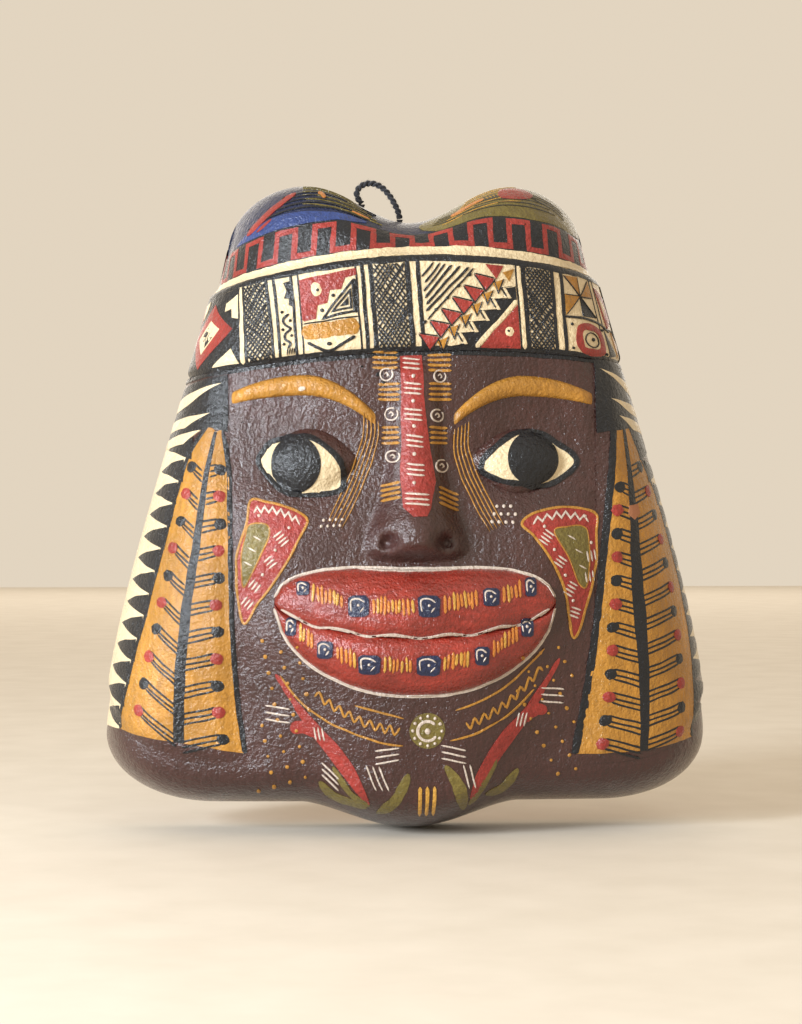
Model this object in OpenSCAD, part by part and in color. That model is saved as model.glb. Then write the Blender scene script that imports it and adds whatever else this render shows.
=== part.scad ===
// Hanging wall mask of fired and painted clay: a hollow, open-backed face between two
// lappets, under a patterned headband and a two-lobed crown, with a yarn loop to hang it by.
// +Z is up, the face looks towards -Y, and the back rim lies in the plane y = 0.
// The origin is on that rim, in the middle of its thickness, under the chin.

/* [Clay body] */
// Width of the clay wall across the lower corners, without the lappets' own thickness
mask_w = 238; // [190:1:290]
// Height from the chin to the tops of the crown's lobes
mask_h = 253; // [210:1:310]
// Width across the shoulders of the crown
crown_w = 142; // [115:1:175]
// Wall thickness
wall = 7; // [4:0.5:10]
// How far the sides' straight line bows outwards, mostly in its lower half
side_bow = 4; // [0:0.5:10]
// Depth of the face near its sides
side_depth = 37; // [28:1:50]
// How much further the middle of the face stands out
crest = 17; // [8:1:26]

/* [Edges] */
// Width of the rounding from the side rim to the front
side_roll = 27; // [18:1:36]
// Height of the rounding at the lower rim
low_roll = 18; // [12:1:26]
// Height of the rounding at the top of the crown
top_roll = 24; // [16:1:32]
// Fullness of the roundings: 2 is an ellipse, and more is squarer
roll_power = 2.4; // [2:0.1:3]

/* [Outline] */
// How far the chin hangs below the rim beside it
chin_drop = 10; // [4:1:16]
// Half the width of the chin's dip
chin_half = 42; // [30:1:55]
// Height of the rounded lower corners
corner_h = 27; // [16:1:36]
// Distance from the middle to where a lower corner starts to round
corner_x = 76; // [60:1:85]
// Distance from the middle to the top of each lobe
lobe_x = 40; // [32:1:48]
// How far the valley lies below the lobes
valley_drop = 14.5; // [8:0.5:20]
// How far the crown falls from a lobe to its shoulder
lobe_fall = 27; // [20:1:34]

/* [Headdress] */
// Height of the crown above the headband, on the middle line, measured from the lobes' tops
crown_h = 30; // [24:1:40]
// Height of the headband
band_h = 38; // [28:1:46]
// How far the headband stands out from the face
band_raise = 2.6; // [1:0.1:5]
// How far the headband's lower edge dips towards the sides
band_low_sag = 6; // [2:1:14]
// How far the headband's upper edge dips towards the sides
band_top_sag = 9; // [4:1:18]
// How much higher the headband ends at the right than in its middle, seen from the front
band_tilt = 3; // [0:0.5:5]
// How far the lappets stand out from the face
lappet_raise = 2; // [1:0.1:4]
// Width of a lappet at its foot, round the side
lappet_foot_w = 52; // [36:1:60]
// Width of a lappet under the headband, round the side
lappet_top_w = 14; // [8:1:22]
// Height of the plain clay rim below the lappets and the face
rim_h = 18; // [12:1:24]

/* [Face] */
// Length of each eye
eye_w = 36; // [28:1:42]
// Height of each eye
eye_h = 25; // [16:1:28]
// How far the eyes stand out
eye_raise = 6.5; // [3:0.5:9]
// Length of each brow
brow_w = 56; // [40:1:60]
// Thickness of each brow, seen from the front
brow_t = 8; // [4:0.5:10]
// How far the brows stand out
brow_raise = 2.6; // [1:0.1:4]
// Width of the nose at its wings
nose_w = 46; // [34:1:50]
// Width of the bridge under the headband
bridge_w = 22; // [14:1:28]
// How far the tip of the nose stands out
nose_raise = 15; // [8:1:20]
// How far the bridge stands out
bridge_raise = 3; // [2:0.5:7]
// Width of the mouth
mouth_w = 106; // [80:1:112]
// Height of the upper lip in the middle
upper_lip_h = 25; // [16:1:28]
// How far the nose ends above the upper lip
nose_gap = 2.3; // [1:0.1:8]
// Height of the lower lip in the middle
lower_lip_h = 22; // [14:1:26]
// How far the lips stand out
lip_raise = 9; // [5:0.5:12]

/* [Hanging loop] */
// Diameter of the yarn
yarn_d = 2.4; // [1.6:0.1:3]
// Clearance between the yarn and its holes, all round
hole_gap = 0.4; // [0.3:0.1:0.8]
// Distance from the back plane to the middle of the holes
hole_y = 7; // [6:0.5:10]
// Diameter of the knot inside the crown
knot_d = 6; // [5:0.5:7]

/* [Hidden] */

half_low = mask_w / 2;
half_high = crown_w / 2;
base_z = -wall / 2;
peak_z = base_z + mask_h;
corner_z = base_z + chin_drop + corner_h;
shoulder_z = peak_z - lobe_fall;
band_top_z = peak_z - crown_h;
band_z = band_top_z - band_h;

// Grid of the clay wall: columns round each side and across the face, and rows in four bands
side_cols = 7;
face_cols = 22;
rim_rows = 5;
face_rows = 26;
band_rows = 5;
crown_rows = 7;
edge_power = 1.8;        // crowds the grid lines together towards the rim
cols = 2 * side_cols + face_cols;
row_ends = [0, rim_rows, rim_rows + face_rows, rim_rows + face_rows + band_rows,
            rim_rows + face_rows + band_rows + crown_rows];

// Places on the face, as shares of the height from the chin to the headband
function face_z(share) = base_z + share * (band_z - base_z);
mouth_z = face_z(0.485);
eye_z = face_z(0.775);
brow_z = face_z(0.93);
nose_low_z = mouth_z + upper_lip_h / 2 + nose_gap;
cheek_z = face_z(0.62);
muzzle_z = face_z(0.43);
chin_z = face_z(0.17);

// ---- The outline ----
function mix(a, b, t) = a + (b - a) * t;
function half_w(z) =
    let (t = (z - corner_z) / (shoulder_z - corner_z))
    mix(half_low, half_high, t) + side_bow * 6.75 * t * pow(1 - t, 2);
function round_off(x, from, to) = 1 - sqrt(max(0, 1 - pow(max(0, x - from) / (to - from), 2)));
function chin_dip(x) = x < chin_half ? pow((1 + cos(180 * x / chin_half)) / 2, 0.75) : 0;
function low_z(x) =
    base_z + chin_drop * (1 - chin_dip(abs(x))) + corner_h * round_off(abs(x), corner_x, half_low);
function top_z(x) =
    abs(x) < lobe_x ? peak_z - valley_drop * (1 + cos(180 * abs(x) / lobe_x)) / 2
                    : peak_z - lobe_fall * round_off(abs(x), lobe_x, half_high);

// ---- The front surface, as a depth over the back plane ----
function rise(d, roll) =
    d < 0.000001 ? 0 : d >= roll ? 1 : pow(1 - pow(1 - d / roll, roll_power), 1 / roll_power);
function swell(x, z, cx, cz, wx, wz) = exp(-pow((x - cx) / wx, 2) - pow((z - cz) / wz, 2));
function chin_w(z) = max(20, mix(20, 44, (z - base_z) / 60));
function bumps(x, z) =
    9 * swell(x, z, 0, muzzle_z, 58, 32)
    + 7 * exp(-pow(x / chin_w(z), 4) - pow((z - chin_z) / 38, 2))
    + 4 * swell(abs(x), z, 52, cheek_z, 26, 28)
    - 4 * swell(abs(x), z, 43, eye_z, 24, 19);
function front(x, z) =
    (side_depth + crest * (1 - pow(x / half_w(z), 2)))
        * (1 - 0.12 * pow((z - face_z(0.62)) / 110, 2)) + bumps(x, z);
function rises(x, z) =
    [rise(half_w(z) - abs(x), side_roll), rise(z - low_z(x), low_roll), rise(top_z(x) - z, top_roll)];
function depth(x, z) = let (e = rises(x, z)) front(x, z) * e[0] * e[1] * e[2];

// ---- The grid over the wall ----
function edge_curve(k, u) =
    k == 0 ? low_z(u * half_low)
    : k == 1 ? low_z(u * half_low) + rim_h
    : k == 2 ? band_z - band_low_sag * u * u + band_tilt * u
    : k == 3 ? band_top_z - band_top_sag * u * u + band_tilt * u
    : top_z(u * half_high);
function band_of(j) = j < row_ends[1] ? 0 : j < row_ends[2] ? 1 : j < row_ends[3] ? 2 : 3;
function row_share(j) =
    let (k = band_of(j), f = (j - row_ends[k]) / (row_ends[k + 1] - row_ends[k]))
    k == 0 ? pow(f, edge_power) : k == 3 ? 1 - pow(1 - f, edge_power) : f;
function row_z(j, u) =
    let (k = band_of(j)) mix(edge_curve(k, u), edge_curve(k + 1, u), row_share(j));
function lappet_w(z) =
    let (low = edge_curve(1, 1), high = band_z - band_low_sag, t = (z - low) / (high - low))
    mix(lappet_foot_w, lappet_top_w, min(1, max(0, t)));
function inner_u(z) = 1 - lappet_w(z) / half_w(z);
function col_u(i, z) =
    i <= side_cols ? -1 + (1 - inner_u(z)) * pow(i / side_cols, edge_power)
    : i >= side_cols + face_cols ? 1 - (1 - inner_u(z)) * pow((cols - i) / side_cols, edge_power)
    : inner_u(z) * (2 * (i - side_cols) / face_cols - 1);
// A point of the wall: its place on the outer face and the direction through the wall there
function wall_point(i, j) =
    let (side_z = row_z(j, i < cols / 2 ? -1 : 1), u = col_u(i, side_z),
         x = u * half_w(side_z), z = row_z(j, u),
         e = rises(x, z), all_e = e[0] * e[1] * e[2],
         gx = sign(x) * (1 - e[0]), gz = e[1] - e[2], g = max(norm([gx, gz]), 0.000001),
         flat = sqrt(1 - all_e * all_e))
    [[x, -front(x, z) * all_e, z], [flat * gx / g, -all_e, flat * gz / g]];

// Two triangles between the top edge a-b and the low edge c-d. Neighbouring pieces walk their common
// edge in opposite directions, so the diagonal follows the grid's own order and not the walk's.
function edge_wall(a, b, c, d, forward) =
    forward ? [[b, c, a], [b, d, c]] : [[b, d, a], [d, c, a]];

// A piece of the wall between two columns and two rows, standing out from it by proud
module wall_patch(i0, i1, j0, j1, proud) {
    w = i1 - i0 + 1;
    h = j1 - j0 + 1;
    grid = [for (j = [j0:j1]) for (i = [i0:i1]) wall_point(i, j)];
    outer = [for (p = grid) p[0] + proud * p[1]];
    inner = [for (p = grid) p[0] - wall * p[1]];
    n = w * h;
    ring = concat([for (i = [0:w - 1]) i], [for (j = [1:h - 1]) j * w + w - 1],
                  [for (i = [w - 2:-1:0]) (h - 1) * w + i], [for (j = [h - 2:-1:1]) j * w]);
    rn = len(ring);
    middle = [for (k = ring) grid[k][0]];
    front_faces = [for (j = [0:h - 2]) for (i = [0:w - 2])
                       let (a = j * w + i) each [[a, a + w, a + w + 1], [a, a + w + 1, a + 1]]];
    back_faces = [for (f = front_faces) [f[2] + n, f[1] + n, f[0] + n]];
    low_wall = [for (k = [0:rn - 1])
                    let (m = (k + 1) % rn, a = ring[k], b = ring[m])
                    each edge_wall(2 * n + k, 2 * n + m, n + a, n + b, a < b)];
    high_wall = [for (k = [0:rn - 1])
                     let (m = (k + 1) % rn, a = ring[k], b = ring[m])
                     each edge_wall(a, b, 2 * n + k, 2 * n + m, a < b)];
    flat_wall = [for (k = [0:rn - 1])
                     let (a = ring[k], b = ring[(k + 1) % rn]) each edge_wall(a, b, n + a, n + b, a < b)];
    if (proud > 0)
        polyhedron(concat(outer, inner, middle),
                   concat(front_faces, back_faces, low_wall, high_wall), convexity = 8);
    else
        polyhedron(concat(outer, inner), concat(front_faces, back_faces, flat_wall), convexity = 8);
}

// Clay laid on the face: place(t, s) gives its x and z, and height(t, s) how far it stands out
joint_gap = 0.15;        // between the facets of the laid-on clay and those of the wall
edge_h = 0.4;            // its thickness at its edge
module laid_on(along, across, place, height) {
    w = across + 1;
    spots = [for (i = [0:along]) for (k = [0:across]) [i / along, 2 * k / across - 1]];
    under = [for (q = spots) let (p = place(q[0], q[1])) [p[0], -depth(p[0], p[1]) - joint_gap, p[1]]];
    over = [for (k = [0:len(spots) - 1])
                under[k] - [0, edge_h + height(spots[k][0], spots[k][1]), 0]];
    n = len(spots);
    top = [for (i = [0:along - 1]) for (k = [0:across - 1])
               let (a = i * w + k) each [[a, a + w, a + w + 1], [a, a + w + 1, a + 1]]];
    ring = concat([for (k = [0:across]) k], [for (i = [1:along]) i * w + across],
                  [for (k = [across - 1:-1:0]) along * w + k], [for (i = [along - 1:-1:1]) i * w]);
    sides = [for (k = [0:len(ring) - 1])
                 let (a = ring[k], b = ring[(k + 1) % len(ring)]) each [[b, n + a, a], [b, n + b, n + a]]];
    polyhedron(concat(over, under), concat(top, [for (f = top) [f[2] + n, f[1] + n, f[0] + n]], sides),
               convexity = 6);
}
function dome(s) = pow(max(0, 1 - s * s), 0.7);

// ---- The yarn ----
hole_r = yarn_d / 2 + hole_gap;
left_hole_x = -18;
right_hole_x = -3;
axis_lift = 1.7;         // from the clay to the line that the loop swings about
left_exit = [left_hole_x, -hole_y, top_z(left_hole_x) + axis_lift];
right_exit = [right_hole_x, -hole_y, top_z(right_hole_x) + axis_lift];
leg_gap = yarn_d / 2 + 0.3;   // keeps the fixed ends of the yarn clear of the swinging loop
// The loop's route, from its left exit round the arch to its right one, as [x, z] from the left exit
loop_route = [[0, 0], [-1.5, 2], [-2, 4.5], [-0.5, 6.8], [2.3, 8], [5.5, 7.7], [8.5, 6], [11, 3.2], [13, 0],
              [14.4, -3.2], [15, -5.9]];

function unit(v) = v / norm(v);
module yarn(points, sides = 8) {
    last = len(points) - 1;
    rings = [for (k = [0:last])
                 let (d = unit(points[min(last, k + 1)] - points[max(0, k - 1)]), a = [0, 1, 0],
                      b = unit(cross(d, a)))
                 [for (m = [0:sides - 1]) points[k] + yarn_d / 2 * (cos(360 * m / sides) * a
                                                                    + sin(360 * m / sides) * b)]];
    pts = [for (r = rings) each r];
    polyhedron(pts, concat(
        [[for (m = [0:sides - 1]) m]],
        [[for (m = [sides - 1:-1:0]) last * sides + m]],
        [for (k = [0:last - 1]) for (m = [0:sides - 1])
             let (a = k * sides + m, b = k * sides + (m + 1) % sides)
             each [[a, a + sides, b + sides], [a, b + sides, b]]]), convexity = 6);
}

// ---- The pieces ----
module crown() {
    color("midnightblue") difference() {
        wall_patch(0, cols, row_ends[3], row_ends[4], 0);
        for (exit = [left_exit, right_exit])
            translate(exit - [0, 0, 3 * wall]) cylinder(h = 4 * wall, r = hole_r, $fn = 32);
    }
}
module headband() {
    color("wheat") wall_patch(0, cols, row_ends[2], row_ends[3], band_raise);
}
module face_shell() {
    color("#3e201c") wall_patch(side_cols, side_cols + face_cols, row_ends[1], row_ends[2], 0);
}
module left_lappet() {
    color("#be8026") wall_patch(0, side_cols, row_ends[1], row_ends[2], lappet_raise);
}
module right_lappet() {
    color("#be8026") wall_patch(cols - side_cols, cols, row_ends[1], row_ends[2], lappet_raise);
}
module lower_rim() {
    color("#4a2822") wall_patch(0, cols, 0, row_ends[1], 0);
}
module nose() {
    top = band_z - 3;
    long = top - nose_low_z;
    wide = function(t) mix(nose_w, bridge_w, pow(sin(90 * min(1, t / 0.62)), 1.3)) / 2
                       * (t < 0.12 ? mix(0.72, 1, sin(750 * t)) : 1);
    tall = function(t) mix(nose_raise, bridge_raise, pow(min(1, max(0, t - 0.14) / 0.86), 0.75))
                       * pow(sin(min(90, 90 * t / 0.14)), 0.7);
    color("#4a2620") laid_on(18, 10, function(t, s) [s * wide(t), nose_low_z + t * long],
                             function(t, s) tall(t) * dome(s));
}
module brow(side) {
    inner_x = 14;
    arch = function(t) brow_z - (t < 0.5 ? 14 : 5) * pow(2 * t - 1, 2);
    color("#be8026") laid_on(14, 4,
        function(t, s) [side * (inner_x + brow_w * t),
                        arch(t) + side * s * brow_t / 2 * (0.45 + 0.55 * sin(180 * t))],
        function(t, s) brow_raise * dome(s) * (0.4 + 0.6 * sin(180 * t)));
}
module left_brow() {
    brow(-1);
}
module right_brow() {
    brow(1);
}
module eye(side) {
    eye_x = 0.57 * inner_u(eye_z) * half_w(eye_z);
    color("wheat") laid_on(12, 8,
        function(t, s) [side * eye_x + (t - 0.5) * eye_w,
                        eye_z - s * eye_h / 2 * (0.1 + 0.9 * pow(sin(180 * t), 0.8))],
        function(t, s) eye_raise * dome(s) * pow(sin(180 * t), 0.6));
}
module left_eye() {
    eye(-1);
}
module right_eye() {
    eye(1);
}
// The lips meet on a wavy line that sinks from the corners of the mouth
function lip_x(t) = (t - 0.5) * mouth_w;
function bend(t, power) = pow(max(0, 1 - pow(abs(2 * t - 1), power)), 0.6);
function parting_z(t) = mouth_z - 0.5 * upper_lip_h * bend(t, 2);
module upper_lip() {
    color("firebrick") laid_on(24, 8,
        function(t, s) [lip_x(t), parting_z(t) + 0.6
                        + (1 - s) / 2 * (1.6 + (upper_lip_h - 1.6) * bend(t, 3.2))],
        function(t, s) lip_raise * dome(s) * (0.25 + 0.75 * bend(t, 2)));
}
module lower_lip() {
    color("firebrick") laid_on(24, 8,
        function(t, s) [lip_x(t), parting_z(t) - 0.6
                        - (1 + s) / 2 * (1.6 + (lower_lip_h - 1.6) * bend(t, 2.4))],
        function(t, s) 0.85 * lip_raise * dome(s) * (0.25 + 0.75 * bend(t, 2)));
}
module cord_loop() {
    color("#141414") yarn([for (p = loop_route) left_exit + [p[0], 0, p[1]]]);
}
// The end of the yarn: a straight leg through the wall and a knot under it
module cord_end(exit) {
    leg_top = exit[2] - leg_gap;
    knot_z = exit[2] - axis_lift - wall - knot_d / 2 - 1.5;
    color("#141414") union() {
        translate([exit[0], exit[1], knot_z]) cylinder(h = leg_top - knot_z, d = yarn_d, $fn = 24);
        translate([exit[0], exit[1], knot_z]) sphere(d = knot_d, $fn = 24);
    }
}
module left_cord_end() {
    cord_end(left_exit);
}
module right_cord_end() {
    cord_end(right_exit);
}

crown();
headband();
face_shell();
left_lappet();
right_lappet();
lower_rim();
nose();
left_brow();
right_brow();
left_eye();
right_eye();
upper_lip();
lower_lip();
cord_loop();
left_cord_end();
right_cord_end();
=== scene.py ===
"""A hanging wall mask of painted clay: the looks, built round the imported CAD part.

Lengths are in millimetres and angles in degrees until put() turns them into metres.
+Z is up, the face looks towards -Y, and the back rim lies in the plane y = 0.
"""
import math
import random

import bpy
import numpy as np
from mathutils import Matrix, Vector, geometry, noise
from mathutils.bvhtree import BVHTree


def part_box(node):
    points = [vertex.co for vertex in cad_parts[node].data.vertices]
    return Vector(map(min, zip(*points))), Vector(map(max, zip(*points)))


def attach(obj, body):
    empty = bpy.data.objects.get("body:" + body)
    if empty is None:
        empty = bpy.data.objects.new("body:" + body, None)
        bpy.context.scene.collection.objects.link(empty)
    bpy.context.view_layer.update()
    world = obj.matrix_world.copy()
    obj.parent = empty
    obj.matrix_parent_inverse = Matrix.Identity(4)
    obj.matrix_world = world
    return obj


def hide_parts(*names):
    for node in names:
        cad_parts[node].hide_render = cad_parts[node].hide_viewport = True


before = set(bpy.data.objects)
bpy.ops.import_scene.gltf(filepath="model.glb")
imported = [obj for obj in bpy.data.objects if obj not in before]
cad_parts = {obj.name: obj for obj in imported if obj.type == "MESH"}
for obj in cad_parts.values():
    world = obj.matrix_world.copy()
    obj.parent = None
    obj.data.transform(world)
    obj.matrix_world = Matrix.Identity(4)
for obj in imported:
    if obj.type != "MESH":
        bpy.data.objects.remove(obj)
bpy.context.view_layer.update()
rng = random.Random(7)
MM = 0.001


def node_box(node):
    """The lowest and highest corners of a CAD node, in millimetres."""
    return [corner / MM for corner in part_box(node)]


# ---- Driving sizes: the outline comes from the CAD part in model.glb, and the rest follows part.scad ----
rim_low, rim_high = node_box("lower_rim")
HALF_LOW = rim_high.x
HALF_HIGH = 71
BASE_Z = rim_low.z
PEAK_Z = node_box("crown")[1].z
WALL = 7
SIDE_BOW = 4
SIDE_DEPTH, CREST = 37, 17
SIDE_ROLL, LOW_ROLL, TOP_ROLL = 27, 18, 24
ROLL_POWER = 2.4
CHIN_DROP, CHIN_HALF = 10, 42
CORNER_H, CORNER_X = 27, 76
LOBE_X, VALLEY_DROP, LOBE_FALL = 40, 14.5, 27
CROWN_H, BAND_H = 30, 38
BAND_RAISE, LAPPET_RAISE = 2.6, 2.0
BAND_LOW_SAG, BAND_TOP_SAG, BAND_TILT = 6, 9, 3
LAPPET_FOOT_W, LAPPET_TOP_W = 52, 14
RIM_H = 18
EDGE_POWER = 1.8
MOUTH_W, UPPER_LIP_H, LOWER_LIP_H, LIP_RAISE = 106, 25, 22, 9
NOSE_GAP = 2.3

CORNER_Z = BASE_Z + CHIN_DROP + CORNER_H
SHOULDER_Z = PEAK_Z - LOBE_FALL
BAND_TOP_Z = PEAK_Z - CROWN_H
BAND_Z = BAND_TOP_Z - BAND_H


def face_z(share):
    """A height on the face, as a share of the way from the chin to the headband."""
    return BASE_Z + share * (BAND_Z - BASE_Z)


MOUTH_Z = face_z(0.485)
EYE_Z = face_z(0.775)
BROW_Z = face_z(0.93)
NOSE_LOW_Z = MOUTH_Z + UPPER_LIP_H / 2 + NOSE_GAP
CHEEK_Z = face_z(0.62)
MUZZLE_Z = face_z(0.43)
CHIN_Z = face_z(0.17)


# ---- Camera ----
CAMERA_DISTANCE = 0.95
CAMERA_AZIMUTH = -3.5
VIEW_HEIGHT = 0.4096
SENSOR_H = 24
AIM_X, AIM_UP = -2.0, 124    # where the camera looks, from the chin


def make_camera():
    """The photograph's view: level, nearly straight on, from a little to the mask's left."""
    data = bpy.data.cameras.new("camera")
    data.sensor_fit = "VERTICAL"
    data.sensor_height = SENSOR_H
    data.lens = SENSOR_H * CAMERA_DISTANCE / VIEW_HEIGHT
    camera = bpy.data.objects.new("camera", data)
    bpy.context.scene.collection.objects.link(camera)
    aim = Vector((AIM_X, 0, BASE_Z + AIM_UP)) * MM
    turn = math.radians(CAMERA_AZIMUTH)
    back = Vector((math.sin(turn), -math.cos(turn), 0))
    camera.location = aim + back * CAMERA_DISTANCE
    camera.rotation_mode = "QUATERNION"
    camera.rotation_quaternion = (-back).to_track_quat("-Z", "Y")
    bpy.context.scene.camera = camera


make_camera()


# ---- Node materials ----
def new_material(name):
    material = bpy.data.materials.new(name)
    material.use_nodes = True
    return material, material.node_tree, material.node_tree.nodes["Principled BSDF"]


def add_node(tree, kind, **values):
    node = tree.nodes.new(kind)
    for key, value in values.items():
        if key in node.inputs:
            node.inputs[key].default_value = value
        else:
            setattr(node, key, value)
    return node


def noise_node(tree, scale, detail=3.0, roughness=0.55, stretch=None):
    """Noise that stays with the clay: scale is in features a metre."""
    coords = add_node(tree, "ShaderNodeTexCoord")
    out = coords.outputs["Object"]
    if stretch:
        mapping = add_node(tree, "ShaderNodeMapping", Scale=stretch)
        tree.links.new(out, mapping.inputs["Vector"])
        out = mapping.outputs["Vector"]
    texture = add_node(tree, "ShaderNodeTexNoise", Scale=scale, Detail=detail, Roughness=roughness)
    tree.links.new(out, texture.inputs["Vector"])
    return texture.outputs["Fac"]


def ramp(tree, fac, low, high, low_value=0.0, high_value=1.0):
    node = add_node(tree, "ShaderNodeMapRange")
    node.inputs["From Min"].default_value = low
    node.inputs["From Max"].default_value = high
    node.inputs["To Min"].default_value = low_value
    node.inputs["To Max"].default_value = high_value
    tree.links.new(fac, node.inputs["Value"])
    return node.outputs["Result"]


def blend_colours(tree, fac, a, b):
    node = add_node(tree, "ShaderNodeMix", data_type="RGBA")
    tree.links.new(fac, node.inputs["Factor"])
    for socket, colour in ((node.inputs[6], a), (node.inputs[7], b)):
        if isinstance(colour, bpy.types.NodeSocket):
            tree.links.new(colour, socket)
        else:
            socket.default_value = (*colour, 1)
    return node.outputs[2]


def bumps_for(tree, shader, layers):
    """Chains bump layers, each (height socket, strength, distance in metres), into the shader."""
    normal = None
    for height, strength, distance in layers:
        bump = add_node(tree, "ShaderNodeBump", Strength=strength, Distance=distance)
        tree.links.new(height, bump.inputs["Height"])
        if normal:
            tree.links.new(normal, bump.inputs["Normal"])
        normal = bump.outputs["Normal"]
    tree.links.new(normal, shader.inputs["Normal"])
    tree.links.new(normal, shader.inputs["Coat Normal"])


def shade(colour, factor):
    return tuple(min(1, c * factor) for c in colour)


def paint(name, colour, wear=None, rough=0.3, streak=(1, 1, 1), mottle=0.35, wear_from=0.66,
          varnish=0.45):
    """Brushed tempera under satin varnish: mottled, streaked by the brush, and worn in specks."""
    material, tree, shader = new_material(name)
    cloudy = ramp(tree, noise_node(tree, 45, 4), 0.3, 0.7)
    brushed = ramp(tree, noise_node(tree, 420, 5, 0.65, streak), 0.3, 0.7)
    tone = blend_colours(tree, cloudy, shade(colour, 1 - mottle), shade(colour, 1 + mottle * 0.5))
    deep = blend_colours(tree, brushed, shade(colour, 1 - mottle * 1.1), tone)
    if wear:
        speck = ramp(tree, noise_node(tree, 520, 6, 0.7), wear_from, wear_from + 0.03)
        deep = blend_colours(tree, speck, deep, wear)
    tree.links.new(deep, shader.inputs["Base Color"])
    grain = noise_node(tree, 1300, 3, 0.6)
    dabs = noise_node(tree, 330, 3, 0.5, streak)
    gloss = ramp(tree, noise_node(tree, 160, 3), 0.3, 0.75, rough - 0.06, rough + 0.12)
    tree.links.new(gloss, shader.inputs["Roughness"])
    shader.inputs["Specular IOR Level"].default_value = 0.24
    shader.inputs["Coat Weight"].default_value = varnish
    shader.inputs["Coat Roughness"].default_value = 0.09
    peel = noise_node(tree, 620, 2, 0.5)
    bumps_for(tree, shader, [(dabs, 0.4, 0.0008), (peel, 0.8, 0.0008), (grain, 0.7, 0.0005)])
    return material


BROWN = (0.050, 0.0150, 0.0125)
OCHRE = (0.45, 0.205, 0.028)
CREAM = (0.70, 0.56, 0.35)
RED = (0.32, 0.031, 0.023)
LIP_RED = (0.30, 0.026, 0.015)
BLACK = (0.008, 0.0095, 0.013)
NAVY = (0.013, 0.020, 0.058)
OLIVE = (0.165, 0.125, 0.028)
CLAY = (0.36, 0.15, 0.075)
ORANGE = (0.55, 0.19, 0.03)
YELLOW = (0.52, 0.27, 0.045)
CHALK = (0.54, 0.45, 0.38)
BLUE = (0.028, 0.055, 0.19)

brown_paint = paint("brown_paint", BROWN, streak=(1, 1, 0.35), rough=0.33, varnish=0.8)
ochre_paint = paint("ochre_paint", OCHRE, wear=shade(BROWN, 0.9), streak=(1, 1, 0.3), wear_from=0.72)
cream_paint = paint("cream_paint", CREAM, wear=shade(CLAY, 0.5), mottle=0.16, wear_from=0.74)
red_paint = paint("red_paint", RED, wear=shade(BROWN, 0.8), wear_from=0.73)
lip_paint = paint("lip_paint", LIP_RED, streak=(0.3, 1, 1), rough=0.27, mottle=0.45, varnish=0.8)
black_paint = paint("black_paint", BLACK, rough=0.26)
navy_paint = paint("navy_paint", NAVY, rough=0.28)
olive_paint = paint("olive_paint", OLIVE)
orange_paint = paint("orange_paint", ORANGE, mottle=0.25)
yellow_paint = paint("yellow_paint", YELLOW, mottle=0.2)
chalk_paint = paint("chalk_paint", CHALK, wear=shade(BROWN, 1.5), mottle=0.15, wear_from=0.7)
blue_paint = paint("blue_paint", BLUE, rough=0.26)


def raw_clay():
    """The unpainted inside: fired clay, wiped by hand, with grog specks and smoke."""
    material, tree, shader = new_material("raw_clay")
    cloudy = ramp(tree, noise_node(tree, 28, 5), 0.3, 0.72)
    smoke = ramp(tree, noise_node(tree, 11, 3), 0.5, 0.75)
    tone = blend_colours(tree, cloudy, shade(CLAY, 0.72), shade(CLAY, 1.18))
    smoked = blend_colours(tree, smoke, tone, shade(CLAY, 0.42))
    grog = ramp(tree, noise_node(tree, 900, 2), 0.7, 0.74)
    tree.links.new(blend_colours(tree, grog, smoked, shade(CLAY, 1.7)), shader.inputs["Base Color"])
    shader.inputs["Roughness"].default_value = 0.9
    wiped = noise_node(tree, 90, 3, 0.5, (1, 1, 0.25))
    bumps_for(tree, shader, [(wiped, 0.6, 0.0015), (noise_node(tree, 700, 4), 0.5, 0.0004)])
    return material


raw_clay_material = raw_clay()


# ---- The clay wall: the same outline and surface as the CAD part, finer and hand-worked ----
def mix(a, b, t):
    return a + (b - a) * t


def smooth_step(t):
    t = np.clip(t, 0, 1)
    return t * t * (3 - 2 * t)


def half_w(z):
    t = (z - CORNER_Z) / (SHOULDER_Z - CORNER_Z)
    return mix(HALF_LOW, HALF_HIGH, t) + SIDE_BOW * 6.75 * t * (1 - t) ** 2


def round_off(x, start, end):
    return 1 - np.sqrt(np.clip(1 - (np.clip(x - start, 0, None) / (end - start)) ** 2, 0, 1))


def low_z(x):
    ax = np.abs(x)
    dip = np.where(ax < CHIN_HALF, ((1 + np.cos(np.pi * np.minimum(ax / CHIN_HALF, 1))) / 2) ** 0.75, 0)
    return BASE_Z + CHIN_DROP * (1 - dip) + CORNER_H * round_off(ax, CORNER_X, HALF_LOW)


def top_z(x):
    ax = np.abs(x)
    valley = PEAK_Z - VALLEY_DROP * (1 + np.cos(np.pi * np.minimum(ax / LOBE_X, 1))) / 2
    return np.where(ax < LOBE_X, valley, PEAK_Z - LOBE_FALL * round_off(ax, LOBE_X, HALF_HIGH))


def rise(d, roll):
    q = np.clip(1 - d / roll, 0, 1)
    return np.where(d < 1e-6, 0, np.clip(1 - q ** ROLL_POWER, 0, 1) ** (1 / ROLL_POWER))


def swell(x, z, cx, cz, wx, wz):
    return np.exp(-((x - cx) / wx) ** 2 - ((z - cz) / wz) ** 2)


def chin_w(z):
    return np.maximum(20, mix(20, 44, (z - BASE_Z) / 60))


def bumps(x, z):
    ax = np.abs(x)
    return (9 * swell(x, z, 0, MUZZLE_Z, 58, 32)
            + 7 * np.exp(-(x / chin_w(z)) ** 4 - ((z - CHIN_Z) / 38) ** 2)
            + 4 * swell(ax, z, 52, CHEEK_Z, 26, 28)
            - 4 * swell(ax, z, 43, EYE_Z, 24, 19))


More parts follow.
